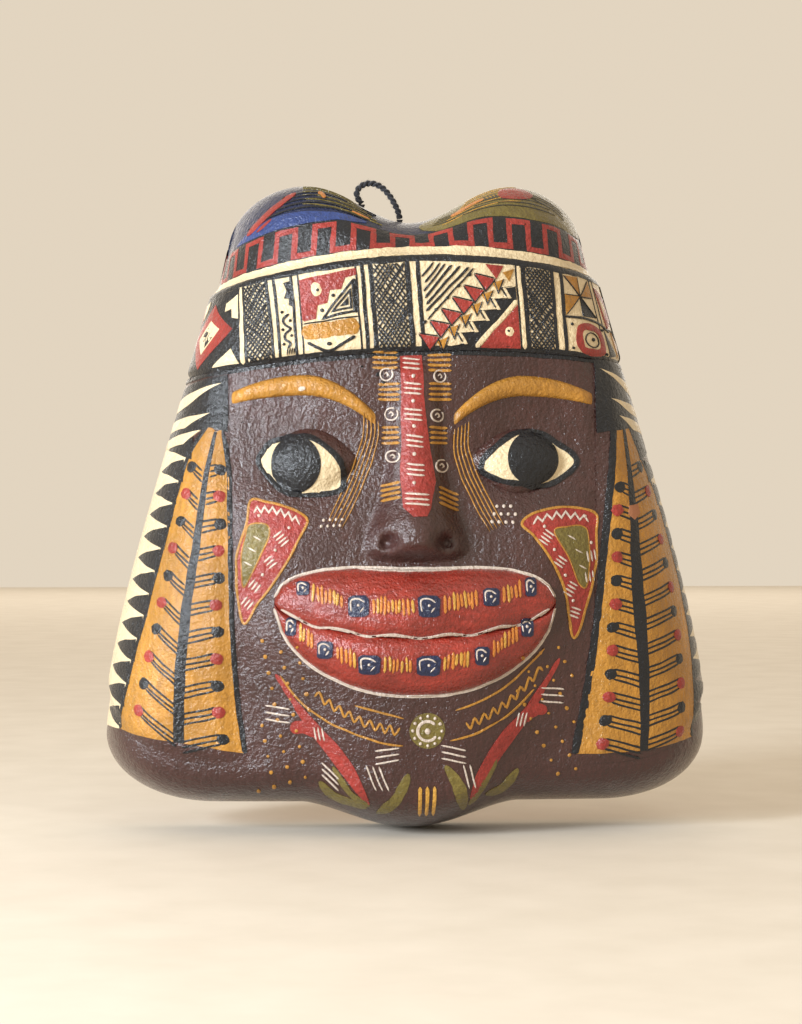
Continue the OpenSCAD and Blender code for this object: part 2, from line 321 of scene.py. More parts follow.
def noise_at(x, z, scale, seed):
    """Smooth noise from -1 to 1 over the front, scale millimetres to a feature."""
    shape = np.broadcast(x, z).shape
    xs, zs = np.broadcast_to(x, shape).ravel(), np.broadcast_to(z, shape).ravel()
    values = [noise.noise(Vector((a / scale, seed, b / scale))) for a, b in zip(xs, zs)]
    return np.array(values).reshape(shape)


def hand_work(x, z):
    """How unevenly the clay was pressed and wiped, in millimetres."""
    return 1.3 * noise_at(x, z, 34, 3.1) + 0.45 * noise_at(x, z, 11, 8.7) + 0.14 * noise_at(x, z, 4, 1.9)


def rises(x, z):
    side, low = rise(half_w(z) - np.abs(x), SIDE_ROLL), rise(z - low_z(x), LOW_ROLL)
    return side, low, rise(top_z(x) - z, TOP_ROLL)


def front(x, z):
    dome = SIDE_DEPTH + CREST * (1 - (x / half_w(z)) ** 2)
    return dome * (1 - 0.12 * ((z - CHEEK_Z) / 110) ** 2) + bumps(x, z) + hand_work(x, z)


def depth(x, z):
    side, low, top = rises(x, z)
    return front(x, z) * side * low * top


def edge_curve(k, u):
    if k == 0:
        return low_z(u * HALF_LOW)
    if k == 1:
        return low_z(u * HALF_LOW) + RIM_H
    if k == 2:
        return BAND_Z - BAND_LOW_SAG * u * u + BAND_TILT * u
    if k == 3:
        return BAND_TOP_Z - BAND_TOP_SAG * u * u + BAND_TILT * u
    return top_z(u * HALF_HIGH)


SIDE_LOW, SIDE_TOP = edge_curve(1, 1.0), BAND_Z - BAND_LOW_SAG


def side_height(k, side, f):
    """The height of row f of band k at the left rim (side -1) or the right one (side 1)."""
    return mix(edge_curve(k, side * 1.0), edge_curve(k + 1, side * 1.0), f)


def inner_u(z):
    """Where a lappet's inner edge runs, as a share of the half width."""
    t = np.clip((z - SIDE_LOW) / (SIDE_TOP - SIDE_LOW), 0, 1)
    return 1 - mix(LAPPET_FOOT_W, LAPPET_TOP_W, t) / half_w(z)


def wall_at(u, k, f):
    """Points of band k at u across and f up it, and the directions out of the wall there."""
    x = u * half_w(side_height(k, np.where(np.asarray(u) < 0, -1, 1), f))
    z = mix(edge_curve(k, u), edge_curve(k + 1, u), f)
    x, z = np.broadcast_arrays(x, z)
    side, low, top = rises(x, z)
    rise_all = side * low * top
    gx, gz = np.sign(x) * (1 - side), low - top
    g = np.maximum(np.hypot(gx, gz), 1e-6)
    flat = np.sqrt(np.clip(1 - rise_all ** 2, 0, 1))
    points = np.stack([x, -front(x, z) * rise_all, z], -1)
    return points, np.stack([flat * gx / g, -rise_all, flat * gz / g], -1)


def spread_rows(k, count):
    f = np.linspace(0, 1, count + 1)
    if k == 0:
        return f ** EDGE_POWER
    return crowded(f) if k == 3 else f


def crowded(c):
    """Shares from 0 to 1, crowded towards 1, where the wall turns to its rim."""
    return 1 - (1 - c) ** EDGE_POWER


def columns(section, count, k, f):
    """u of the columns of the left side (0), the face (1) or the right side (2) in row f of band k."""
    c = np.linspace(0, 1, count + 1)
    left, right = inner_u(side_height(k, -1, f)), inner_u(side_height(k, 1, f))
    if section == 1:
        return np.where(c < 0.5, left, right) * (2 * c - 1)
    return -mix(left, 1, crowded(1 - c)) if section == 0 else mix(right, 1, crowded(c))


def put(name, points, faces, materials, face_material=None, body="mask", replaces=()):
    """A smooth mesh object from points in millimetres, riding on a body."""
    mesh = bpy.data.meshes.new(name)
    mesh.from_pydata([tuple(p) for p in np.asarray(points) * MM], [], [tuple(f) for f in faces])
    for material in materials:
        mesh.materials.append(material)
    if face_material is not None:
        mesh.polygons.foreach_set("material_index", np.asarray(face_material, dtype=np.int32))
    mesh.validate()
    mesh.shade_smooth()
    mesh.set_sharp_from_angle(angle=math.radians(50))
    made = bpy.data.objects.new(name, mesh)
    bpy.context.scene.collection.objects.link(made)
    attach(made, body)
    if replaces:
        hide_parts(*replaces)
    return made


outer_surfaces = []          # the painted sides of the clay, which the brushwork lies on
RIM_SOFT = 1.1               # how far the back rim's edges are rounded over


def grid_quads(ids):
    """The four corners of each cell of a grid of point numbers."""
    return np.stack([ids[:-1, :-1], ids[1:, :-1], ids[1:, 1:], ids[:-1, 1:]], -1).reshape(-1, 4)


def wall_patch(name, k, rows, sections, material, proud=0, soften=None, edge=None):
    """A piece of the wall: its painted outer face, its raw inner face and the edges between."""
    points, normals = [], []
    for f in spread_rows(k, rows):
        u = [columns(s, count, k, f)[(1 if i else 0):] for i, (s, count) in enumerate(sections)]
        row, outwards = wall_at(np.concatenate(u), k, f)
        points.append(row)
        normals.append(outwards)
    points, normals = np.array(points), np.array(normals)
    h, w = points.shape[:2]
    stand = proud * soften(points)[..., None] if proud else 0
    outer = (points + normals * stand).reshape(-1, 3)
    inner = (points - normals * WALL).reshape(-1, 3)
    n = h * w
    ids = np.arange(n).reshape(h, w)
    quads = grid_quads(ids)
    ring = list(ids[0, :]) + list(ids[1:, -1]) + list(ids[-1, -2::-1]) + list(ids[-2:0:-1, 0])
    on_rim = np.abs(points.reshape(-1, 3)[:, 1]) < 0.01
    ring_points = [mix(outer[ring], inner[ring], share) for share in (0.14, 0.86)]
    outer[on_rim, 1] -= RIM_SOFT
    inner[on_rim, 1] -= RIM_SOFT
    levels = [np.array(ring), 2 * n + np.arange(len(ring)), 2 * n + len(ring) + np.arange(len(ring)),
              n + np.array(ring)]
    faces = [list(q) for q in quads] + [[q[3] + n, q[2] + n, q[1] + n, q[0] + n] for q in quads]
    which = [0] * len(quads) + [1] * len(quads)
    if edge:
        which[:w - 1] = [2] * (w - 1)
    for i in range(3):
        top, low = levels[i], levels[i + 1]
        for m in range(len(ring)):
            o = (m + 1) % len(ring)
            faces.append([top[m], top[o], low[o], low[m]])
            which.append((2 if edge else 0) if i == 0 else 1)
    everything = np.concatenate([outer, inner, *ring_points])
    outer_surfaces.append((outer, quads))
    materials = [material, raw_clay_material] + ([edge] if edge else [])
    return put(name, everything, faces, materials, which, replaces=[name])


def soft_rows(points):
    """Full in the middle, and eased down at the lower and upper edges."""
    z = points[..., 2]
    away = np.minimum(z - z[:1], z[-1:] - z)
    return 0.25 + 0.75 * smooth_step(away / 3.2)


def soft_inner(side):
    """Eased down along a lappet's inner edge and at its foot."""
    def eased(points):
        x = points[..., 0] * side
        across = x - x[:, (-1 if side < 0 else 0)][:, None]
        up = points[..., 2] - points[:1, :, 2]
        return (0.12 + 0.88 * smooth_step(across / 8)) * (0.15 + 0.85 * smooth_step(up / 6))
    return eased


ALL_ROUND = [(0, 34), (1, 110), (2, 34)]
crown = wall_patch("crown", 3, 44, ALL_ROUND, navy_paint)
wall_patch("headband", 2, 30, ALL_ROUND, cream_paint, BAND_RAISE, soft_rows, black_paint)
wall_patch("face_shell", 1, 120, [(1, 110)], brown_paint)
for side, section, name in ((-1, 0, "left_lappet"), (1, 2, "right_lappet")):
    wall_patch(name, 1, 120, [(section, 34)], brown_paint, LAPPET_RAISE, soft_inner(side))
wall_patch("lower_rim", 0, 18, ALL_ROUND, brown_paint)


# ---- The clay laid on the face ----
SUNK = 0.5                   # how far the edges of the laid-on clay lie under the skin
ROOT = 2.5                   # how far its underside lies under the skin


def laid_on(name, along, across, place, height, material):
    """A pad or roll of clay on the face. place and height take t along it and s across it."""
    t, s = np.meshgrid(np.linspace(0, 1, along + 1), np.linspace(-1, 1, across + 1), indexing="ij")
    x, z = place(t, s)
    skin = depth(x, z)
    over = np.stack([x, -(skin + height(t, s) - SUNK), z], -1).reshape(-1, 3)
    under = np.stack([x, -(skin - ROOT), z], -1).reshape(-1, 3)
    n = len(over)
    ids = np.arange(n).reshape(along + 1, across + 1)
    quads = grid_quads(ids)
    ring = list(ids[:, 0]) + list(ids[-1, 1:]) + list(ids[-2::-1, -1]) + list(ids[0, -2:0:-1])
    first = over[quads[:, 0]]
    facing = np.cross(over[quads[:, 1]] - first, over[quads[:, 2]] - first).sum(0)
    if facing[1] > 0:
        quads, ring = quads[:, ::-1], ring[::-1]
    faces = [list(q) for q in quads] + [[v + n for v in q[::-1]] for q in quads]
    for m in range(len(ring)):
        o = (m + 1) % len(ring)
        faces.append([ring[o], ring[m], ring[m] + n, ring[o] + n])
    outer_surfaces.append((over, quads))
    put(name, np.concatenate([over, under]), faces, [material], replaces=[name])


def dome(s, power=0.7):
    return np.clip(1 - s * s, 0, 1) ** power


NOSE_W, BRIDGE_W, NOSE_RAISE, BRIDGE_RAISE = 46, 22, 15, 3
NOSE_TOP = BAND_Z - 3


def nose_place(t, s):
    wide = mix(NOSE_W, BRIDGE_W, np.sin(np.pi / 2 * np.minimum(1, t / 0.62)) ** 1.3) / 2 + 2.5
    wide = wide * np.where(t < 0.1, mix(0.8, 1, np.sin(np.pi / 2 * t / 0.1)), 1)
    return s * wide, NOSE_LOW_Z - 1 + t * (NOSE_TOP - NOSE_LOW_Z + 2)


def nose_height(t, s):
    x, z = nose_place(t, s)
    ridge = mix(NOSE_RAISE - 3, BRIDGE_RAISE, np.clip((t - 0.12) / 0.88, 0, 1) ** 0.7)
    ridge = ridge * np.sin(np.pi / 2 * np.minimum(1, t / 0.13)) ** 0.8
    ridge = ridge * (1 - smooth_step((t - 0.9) / 0.1))
    h = ridge * dome(s, 1.5)
    h = h + 4 * swell(x, z, 0, NOSE_LOW_Z + 14, 12, 10)
    h = h + 2.6 * swell(np.abs(x), z, 14.5, NOSE_LOW_Z + 10, 7, 7)
    h = h - 8 * swell(np.abs(x), z, 11, NOSE_LOW_Z + 8, 3.6, 3.2)
    fade = smooth_step((1 - np.abs(s)) / 0.5) * smooth_step(t / 0.09)
    return h * fade + 0.3 * dome(s, 0.5) * fade


laid_on("nose", 90, 56, nose_place, nose_height, brown_paint)

BROW_W, BROW_T, BROW_RAISE, BROW_INNER = 56, 8, 2.6, 14


def brow(side, name):
    def place(t, s):
        arch = BROW_Z - np.where(t < 0.5, 14, 5) * (2 * t - 1) ** 2
        taper = 0.5 + 0.5 * np.sin(np.pi * np.clip(t * 0.9 + 0.05, 0, 1))
        return side * (BROW_INNER + BROW_W * t), arch + s * BROW_T / 2 * taper

    def height(t, s):
        ends = smooth_step(np.minimum(t, 1 - t) / 0.06)
        return SUNK * 0.6 + BROW_RAISE * dome(s, 0.6) * (0.45 + 0.55 * np.sin(np.pi * t)) * ends

    laid_on(name, 70, 12, place, height, ochre_paint)


brow(-1, "left_brow")
brow(1, "right_brow")

EYE_W, EYE_H, EYE_RAISE = 36, 25, 6.5
EYE_X = 0.57 * inner_u(EYE_Z) * half_w(EYE_Z)


def eye(side, name):
    def place(t, s):
        opening = 0.1 + 0.9 * np.sin(np.pi * t) ** 0.8
        return side * EYE_X + (t - 0.5) * EYE_W, EYE_Z + s * EYE_H / 2 * opening

    def height(t, s):
        return SUNK + EYE_RAISE * dome(s, 1.0) * np.sin(np.pi * t) ** 0.9 - 0.3 * (1 - dome(s, 0.5))

    laid_on(name, 44, 26, place, height, brown_paint)


eye(-1, "left_eye")
eye(1, "right_eye")


def lip_x(t):
    return (t - 0.5) * MOUTH_W


def bend(t, power):
    return np.clip(1 - np.abs(2 * t - 1) ** power, 0, 1) ** 0.6


def parting_z(t):
    return MOUTH_Z - 0.5 * UPPER_LIP_H * bend(t, 2)


def lip_height(raise_by, outward):
    """Full towards the parting, where the lips meet, and rounded down to the outer edge."""
    def height(t, s):
        from_parting = (outward * s + 1) / 2
        across = mix(-0.66, 1, from_parting ** 0.9)
        groove = 1 - 0.12 * np.exp(-(from_parting / 0.08) ** 2)
        return SUNK * 0.7 + raise_by * dome(across, 0.62) * groove * (0.25 + 0.75 * bend(t, 2))
    return height


def upper_place(t, s):
    return lip_x(t), parting_z(t) + 0.08 + (1 + s) / 2 * (1.6 + (UPPER_LIP_H - 1.6) * bend(t, 3.2))


def lower_place(t, s):
    return lip_x(t), parting_z(t) - 0.08 - (1 - s) / 2 * (1.6 + (LOWER_LIP_H - 1.6) * bend(t, 2.4))


laid_on("upper_lip", 110, 30, upper_place, lip_height(LIP_RAISE, 1), lip_paint)
laid_on("lower_lip", 110, 30, lower_place, lip_height(0.9 * LIP_RAISE, -1), lip_paint)


# ---- The hanging cord: two twisted plies of dark wool, with stray hairs ----
def yarn_material():
    material, tree, shader = new_material("yarn_material")
    fibres = ramp(tree, noise_node(tree, 2600, 3, 0.6), 0.3, 0.7)
    tree.links.new(blend_colours(tree, fibres, (0.004, 0.004, 0.006), (0.026, 0.025, 0.034)),
                   shader.inputs["Base Color"])
    shader.inputs["Roughness"].default_value = 0.92
    shader.inputs["Sheen Weight"].default_value = 0.25
    bumps_for(tree, shader, [(noise_node(tree, 2600, 3, 0.6), 0.8, 0.0004)])
    return material


YARN = yarn_material()
PLY_R, PLY_OFF, TWIST = 0.8, 0.5, 4.4


def through(before, p, q, after, t):
    """A point from p (t = 0) to q (t = 1) on a smooth curve through both."""
    return 0.5 * (2 * p + (q - before) * t + (2 * before - 5 * p + 4 * q - after) * t * t
                  + (3 * p - before - 3 * q + after) * t ** 3)


def smooth_path(route, step=0.45):
    """A smooth curve through the points of a route, in even steps."""
    points = np.array(route, float)
    ends = np.vstack([2 * points[0] - points[1], points, 2 * points[-1] - points[-2]])
    out = []
    for i in range(len(points) - 1):
        out += [through(*ends[i:i + 4], t) for t in np.linspace(0, 1, 9)[:-1]]
    out = np.array(out + [points[-1]])
    run = np.concatenate([[0], np.cumsum(np.linalg.norm(np.diff(out, axis=0), axis=1))])
    at = np.linspace(0, run[-1], max(3, int(run[-1] / step)))
    return np.stack([np.interp(at, run, out[:, i]) for i in range(3)], -1), at


def yarn(name, route, body, hairs):
    """Yarn along a route in millimetres: each ply a closed tube, each hair a closed spike."""
    path, run = smooth_path(route)
    along = np.gradient(path, axis=0)
    along /= np.linalg.norm(along, axis=1)[:, None]
    side = np.cross(along, (0.0, 1.0, 0.31))
    side /= np.linalg.norm(side, axis=1)[:, None]
    up = np.cross(side, along)
    points, faces = [], []
    count = 9
    for ply in (0, 1):
        angle = run / TWIST * 2 * np.pi + ply * np.pi
        core = path + (side * np.cos(angle)[:, None] + up * np.sin(angle)[:, None]) * PLY_OFF
        start = len(points)
        for i, centre in enumerate(core):
            for g in np.arange(count) / count * 2 * np.pi:
                out = (side[i] * np.cos(g) + up[i] * np.sin(g)) * PLY_R
                points.append(centre + out * rng.uniform(0.93, 1.07))
        last = start + (len(core) - 1) * count
        for i in range(len(core) - 1):
            for j in range(count):
                a, b = start + i * count + j, start + i * count + (j + 1) % count
                faces.append([a, b, b + count, a + count])
        faces += [list(range(start + count - 1, start - 1, -1)), list(range(last, last + count))]
    for _ in range(hairs):
        i = rng.randrange(1, len(path) - 1)
        g = rng.uniform(0, 2 * np.pi)
        out = side[i] * np.cos(g) + up[i] * np.sin(g)
        lean = out + along[i] * rng.uniform(-1.2, 1.2)
        lean = lean / np.linalg.norm(lean)
        root = path[i] + out * 0.8
        across_a = np.cross(lean, along[i] + out * 0.3)
        across_a /= np.linalg.norm(across_a)
        across_b = np.cross(lean, across_a)
        start = len(points)
        for k in range(3):
            w = k * 2 * np.pi / 3
            points.append(root + (across_a * np.cos(w) + across_b * np.sin(w)) * 0.06)
        points.append(root + lean * rng.uniform(0.7, 1.7))
        faces.append([start, start + 2, start + 1])
        faces += [[start + k, start + (k + 1) % 3, start + 3] for k in range(3)]
    made = put(name, np.array(points), faces, [YARN], body=body, replaces=[name])
    return made, path, run[-1]


LOOP_ROUTE = ((0, 0), (-1.5, 2), (-2, 4.5), (-0.5, 6.8), (2.3, 8), (5.5, 7.7), (8.5, 6), (11, 3.2), (13, 0),
              (14.4, -3.2), (15, -5.9))
LOOP_Y = -7
HOLE_R = 1.6
left_exit = np.array((-18.0, LOOP_Y, 242.82))
loop_points = [left_exit + (x, 0, z) for x, z in LOOP_ROUTE]


def cord_end(name):
    """A leg of yarn down through the crown, knotted under it."""
    low, high = node_box(name)
    x, y = (low.x + high.x) / 2, (low.y + high.y) / 2
    knot = np.array((x, y, low.z + 3))
    leg = [(x, y, high.z + 1.1), (x, y, (high.z + knot[2]) / 2), (x, y, knot[2] + 2.6)]
    turns = []
    for w in np.linspace(0.3, 2 * math.pi - 0.3, 26):
        reach = 1.35 + 0.45 * math.cos(3 * w)
        turns.append(knot + (math.cos(2 * w) * reach, math.sin(2 * w) * reach, 0.9 * math.sin(3 * w)))
    yarn(name, leg + turns, "mask", 60)


def pierce(piece, places):
    """Round holes straight down through a piece."""
    for x, y, z in places:
        bpy.ops.mesh.primitive_cylinder_add(vertices=20, radius=HOLE_R * MM, depth=40 * MM,
                                            location=(x * MM, y * MM, z * MM))
        cutter = bpy.context.object
        cut = piece.modifiers.new("hole", "BOOLEAN")
        cut.operation, cut.solver, cut.object = "DIFFERENCE", "EXACT", cutter
        bpy.context.view_layer.update()
        whole = bpy.data.meshes.new_from_object(piece.evaluated_get(bpy.context.evaluated_depsgraph_get()))
        piece.modifiers.remove(cut)
        piece.data = whole
        bpy.data.objects.remove(cutter)


loop, loop_path, loop_length = yarn("cord_loop", loop_points, "hanging_loop", 260)
for node in ("left_cord_end", "right_cord_end"):
    cord_end(node)
pierce(crown, [left_exit, loop_points[-1]])


# ---- Charts: flat maps of the clay in millimetres, which the brushwork is laid out on ----
ROUND = np.linspace(-1, 1, 801)
U_GRID = np.sign(ROUND) * crowded(np.abs(ROUND))
SHARES = crowded(np.linspace(0, 1, 61))
CROWN_COLUMNS = 81
LAPPET_ROWS = 41


def run_of(points):
    """How far along a row of points each of them is."""
    return np.concatenate([[0], np.cumsum(np.linalg.norm(np.diff(points, axis=0), axis=1))])


def across(k, f):
    run = run_of(wall_at(U_GRID, k, f)[0])
    return run - run[len(run) // 2]


def look_up(runs, index, distance):
    """The share reached at a distance along the runs on either side of a fractional index."""
    out = np.empty(len(index))
    for j, (i, d) in enumerate(zip(index, distance)):
        low = int(min(max(i, 0), len(runs) - 2))
        out[j] = mix(np.interp(d, runs[low], SHARES), np.interp(d, runs[low + 1], SHARES), i - low)
    return out


BAND_RUN, CROWN_RUN = across(2, 0.5), across(3, 0.2)
CROWN_UP = [run_of(wall_at(np.full(61, u), 3, SHARES)[0]) for u in np.linspace(-1, 1, CROWN_COLUMNS)]
LEAN = 0.075                 # the painter's uprights lean a little, down to the right
AHEAD = 160.0                # how far in front of the back rim the marks on the face set out


def band_chart(a, t):
    """a mm round from the middle and t mm up, 0 to BAND_H: uprights near the middle stay upright."""
    u, f = np.interp(a, BAND_RUN, U_GRID), t / BAND_H
    side = np.where(u < 0, -1, 1)
    widest, here = half_w(side_height(2, side, 0.5)), half_w(side_height(2, side, f))
    upright = (u * widest + LEAN * (BAND_H / 2 - t)) / here
    return wall_at(mix(upright, u, smooth_step((np.abs(u) - 0.72) / 0.25)), 2, f)


def crown_chart(a, v):
    """a mm round from the middle and v mm up and over from the headband."""
    u = np.interp(a, CROWN_RUN, U_GRID)
    return wall_at(u, 3, look_up(CROWN_UP, (u + 1) / 2 * (CROWN_COLUMNS - 1), v))


def lappet_chart(side):
    """A chart of a lappet: a mm outwards from its inner edge, at height z."""
    rows = np.linspace(0, 1, LAPPET_ROWS)
    runs = []
    for f in rows:
        inner = inner_u(side_height(1, side, f))
        runs.append(run_of(wall_at(side * mix(inner, 1, SHARES), 1, np.full(61, f))[0]))

    def chart(a, z):
        f = (z - SIDE_LOW) / (SIDE_TOP - SIDE_LOW)
        for _ in range(4):
            level = side_height(1, side, np.clip(f, 0, 1))
            inner = inner_u(level)
            share = look_up(runs, np.clip(f, 0, 1) * (LAPPET_ROWS - 1), np.maximum(a, 0))
            u = side * (mix(inner, 1, share) + np.minimum(a, 0) / half_w(level))
            low, high = edge_curve(1, u), edge_curve(2, u)
            f = (z - low) / (high - low)
        return wall_at(u, 1, f)
    return chart


def from_front(x, z):
    """The face seen square on: the marks fall on it along +Y."""
    ahead = np.stack([x, np.full(len(x), -AHEAD), z], -1)
    return ahead, np.tile((0.0, -1.0, 0.0), (len(x), 1))


left_chart, right_chart = lappet_chart(-1), lappet_chart(1)


# ---- Brushwork: thin closed skins of paint, one piece to a colour and an area ----
def clay_skin():
    points, faces = [], []
    for own, quads in outer_surfaces:
        start = len(points)
        points.extend(Vector(p) for p in own)
        faces.extend([int(v) + start for v in q] for q in quads)
    return BVHTree.FromPolygons(points, faces)


skin = clay_skin()
CLEAR = 9                    # how far out of the clay the search for its surface begins
SINK = 0.25                  # how far a mark's underside lies under the painted clay
WOBBLE = 0.3                 # how far the hand strays
FIRST, SECOND, THIRD, FOURTH = 0.26, 0.38, 0.5, 0.62     # how proud each coat of paint stands


def paced(path, curved=False, closed=False, step=0.9):
    """Points along a path at an even pace: straight between its corners, or a smooth curve."""
    points = [np.array(p, float) for p in path]
    if closed:
        points.append(points[0])
    out = [points[0]]
    for i in range(len(points) - 1):
        p, q = points[i], points[i + 1]
        before = points[i - 1] if i else (points[-2] if closed else p)
        after = points[i + 2] if i + 2 < len(points) else (points[1] if closed else q)
        count = max(1, int(np.ceil(np.linalg.norm(q - p) / step)))
        for t in np.arange(1, count + 1) / count:
            out.append(through(before, p, q, after, t) if curved else mix(p, q, t))
    return np.array(out[:-1] if closed else out)


def inside(points, rim):
    """Which points lie inside a closed outline."""
    x, z = points[:, :1], points[:, 1:]
    ax, az = rim[:, 0], rim[:, 1]
    bx, bz = np.roll(ax, -1), np.roll(az, -1)
    span = (az > z) != (bz > z)
    cross = ax + (z - az) / np.where(bz == az, 1, bz - az) * (bx - ax)
    return (span & (x < cross)).sum(1) % 2 == 1


class Brush:
    """Marks of one colour in one area, laid on a chart and gathered into one piece."""

    def __init__(self, name, material, slot, chart, lift=FIRST):
        self.name, self.material, self.slot, self.chart, self.lift = name, material, slot, chart, lift
        self.points, self.faces = [], []

    def settle(self, a, b):
        """Where chart places lie on the painted clay, and the directions out of it there."""
        a, b = np.array(a, float), np.array(b, float)
        for j in range(len(a)):
            x, z = a[j] / 7, b[j] / 7
            a[j] += WOBBLE * noise.noise(Vector((x, 2.5, z)))
            b[j] += WOBBLE * noise.noise(Vector((x, 9.5, z)))
        places, outs = [], []
        for p, n in zip(*self.chart(a, b)):
            start, out = Vector(p), Vector(n)
            hit, way, _, _ = skin.ray_cast(start + out * CLEAR, -out)
            if hit is None:
                hit, way = start, out
            places.append(hit)
            outs.append(way if way.dot(out) > 0 else -way)
        return np.array(places), np.array(outs)

    def add(self, a, b, rises, faces):
        """A mark with rises as shares of the lift, closed off round its rim and under the skin."""
        places, outs = self.settle(a, b)
        top = places + outs * (rises * self.lift)[:, None]
        facing = [np.dot(np.cross(top[f[1]] - top[f[0]], top[f[2]] - top[f[0]]), outs[f[0]]) for f in faces]
        if sum(facing) < 0:
            faces = [f[::-1] for f in faces]
        start, n = len(self.points), len(top)
        self.points.extend(top)
        self.points.extend(places - outs * SINK)
        directed = {(f[i], f[(i + 1) % len(f)]) for f in faces for i in range(len(f))}
        for f in faces:
            self.faces.append([v + start for v in f])
            self.faces.append([v + start + n for v in f[::-1]])
        for i, j in sorted(directed):
            if (j, i) not in directed:
                self.faces.append([j + start, i + start, i + n + start, j + n + start])

    def line(self, path, width, curved=False, closed=False, tips=(None, None)):
        """A stroke along a path, rounded at its ends, or drawn out over tips mm."""
        points = paced(path, curved, closed)
        if len(points) < 3 and not closed:
            points = paced([points[0], (points[0] + points[-1]) / 2, points[-1]])
        steps = np.diff(np.vstack([points, points[:1]]) if closed else points, axis=0)
        steps /= np.maximum(np.linalg.norm(steps, axis=1), 1e-9)[:, None]
        before = np.roll(steps, 1, 0) if closed else np.vstack([steps[:1], steps])
        after = steps if closed else np.vstack([steps, steps[-1:]])
        square = np.stack([-(before + after)[:, 1], (before + after)[:, 0]], -1)
        square /= np.maximum(np.linalg.norm(square, axis=1), 1e-9)[:, None]
        mitre = 1 / np.maximum(0.55, square[:, 0] * -after[:, 1] + square[:, 1] * after[:, 0])
        run = run_of(points)
        seed = rng.uniform(0, 90)
        uneven = np.array([1 + 0.22 * noise.noise(Vector((r / 3.5, seed, 0))) for r in run])
        half = width / 2 * uneven * mitre
        if not closed:
            for away, tip in ((run, tips[0]), (run[-1] - run, tips[1])):
                near = np.clip(away / (tip or width * 0.5), 0, 1)
                half *= np.sqrt(np.maximum(1 - (1 - near) ** 2, 0.04))
        count = max(2, int(np.ceil(width / 1.2)))
        s = np.linspace(-1, 1, count + 1)
        spots = points[:, None, :] + square[:, None, :] * (half[:, None] * s[None, :])[..., None]
        h, w = spots.shape[:2]
        ids = np.arange(h * w).reshape(h, w)
        if closed:
            ids = np.vstack([ids, ids[:1]])
        rises = np.tile(1 - 0.25 * np.abs(s) ** 4, h)
        flat = spots.reshape(-1, 2)
        self.add(flat[:, 0], flat[:, 1], rises, [[int(v) for v in q] for q in grid_quads(ids)])

    def fill(self, outline, curved=False, spacing=1.8):
        """A patch of colour inside an outline."""
        rim = paced(outline, curved, True, 1.2)
        low, high = rim.min(0), rim.max(0)
        x, z = np.meshgrid(np.arange(low[0], high[0], spacing), np.arange(low[1], high[1], spacing))
        x[::2] += spacing / 2
        grid = np.stack([x.ravel(), z.ravel()], -1)
        grid = grid[inside(grid, rim)]
        if len(grid):
            gaps = np.linalg.norm(grid[:, None] - rim[None], axis=2).min(1)
            grid = grid[gaps > spacing * 0.4]
        n = len(rim)
        found = geometry.delaunay_2d_cdt([Vector(p) for p in np.vstack([rim, grid])],
                                         [(i, (i + 1) % n) for i in range(n)], [list(range(n))], 1, 1e-6)
        spots = np.array([tuple(p) for p in found[0]])
        rises = np.array([0.8 if not came or min(came) < n else 1.0 for came in found[3]])
        self.add(spots[:, 0], spots[:, 1], rises, [list(f) for f in found[2]])

    def dot(self, a, b, r, r2=None, turn=0.0):
        """A blob of paint, round or oval, with the uneven edge of a loaded brush."""
        count = 8 if r < 0.9 else 14
        angles = np.arange(count) / count * 2 * np.pi
        ragged = 1 + np.array([rng.uniform(-0.09, 0.09) for _ in angles])
        x, z = r * np.cos(angles) * ragged, (r2 or r) * np.sin(angles) * ragged
        c, s = math.cos(math.radians(turn)), math.sin(math.radians(turn))
        ring = np.stack([x * c - z * s, x * s + z * c], -1)
        spots = np.vstack([[(0, 0)], ring * 0.6, ring]) + (a, b)
        faces = [[0, 1 + i, 1 + (i + 1) % count] for i in range(count)]
        for i in range(count):
            o = (i + 1) % count
            faces.append([1 + i, 1 + count + i, 1 + count + o, 1 + o])
        rises = np.array([1.3] + [1.2] * count + [0.8] * count)
        self.add(spots[:, 0], spots[:, 1], rises, faces)

    def done(self):
        put(self.name, np.array(self.points), self.faces, [self.material])


def brushes(slot, chart, *pots):
    """A brush for each (name, material, coat)."""
    return [Brush(name, material, slot, chart, lift) for name, material, lift in pots]


def finish(*used):
    for brush in used:
        brush.done()


def strip(first, second):
    """An outline between two lines that run the same way."""
    return list(first) + list(second)[::-1]


def ribbon(path, widths):
    """An outline round a path, as wide as widths says at each of its points."""
    points = np.array(path, float)
    steps = np.gradient(points, axis=0)
    square = np.stack([-steps[:, 1], steps[:, 0]], -1) / np.linalg.norm(steps, axis=1)[:, None]
    half = np.array(widths)[:, None] / 2
    return strip(points + square * half, points - square * half)


def oval(a, b, r, r2=None, count=14, start=0, end=360):
    """Points round an oval, or along part of it, by angle in degrees."""
    return [(a + r * math.cos(math.radians(g)), b + (r2 or r) * math.sin(math.radians(g)))
            for g in np.linspace(start, end, count, endpoint=end - start < 360)]


# ---- The crown's painting ----
FRET_LOW = 3.4
FRET_PITCH = 15.2
FRET_W = 2.2


def fret_top(a):
    """The fret is lower over the valley between the lobes."""
    return 8.4 + 5.6 * float(smooth_step(abs(a) / 32))


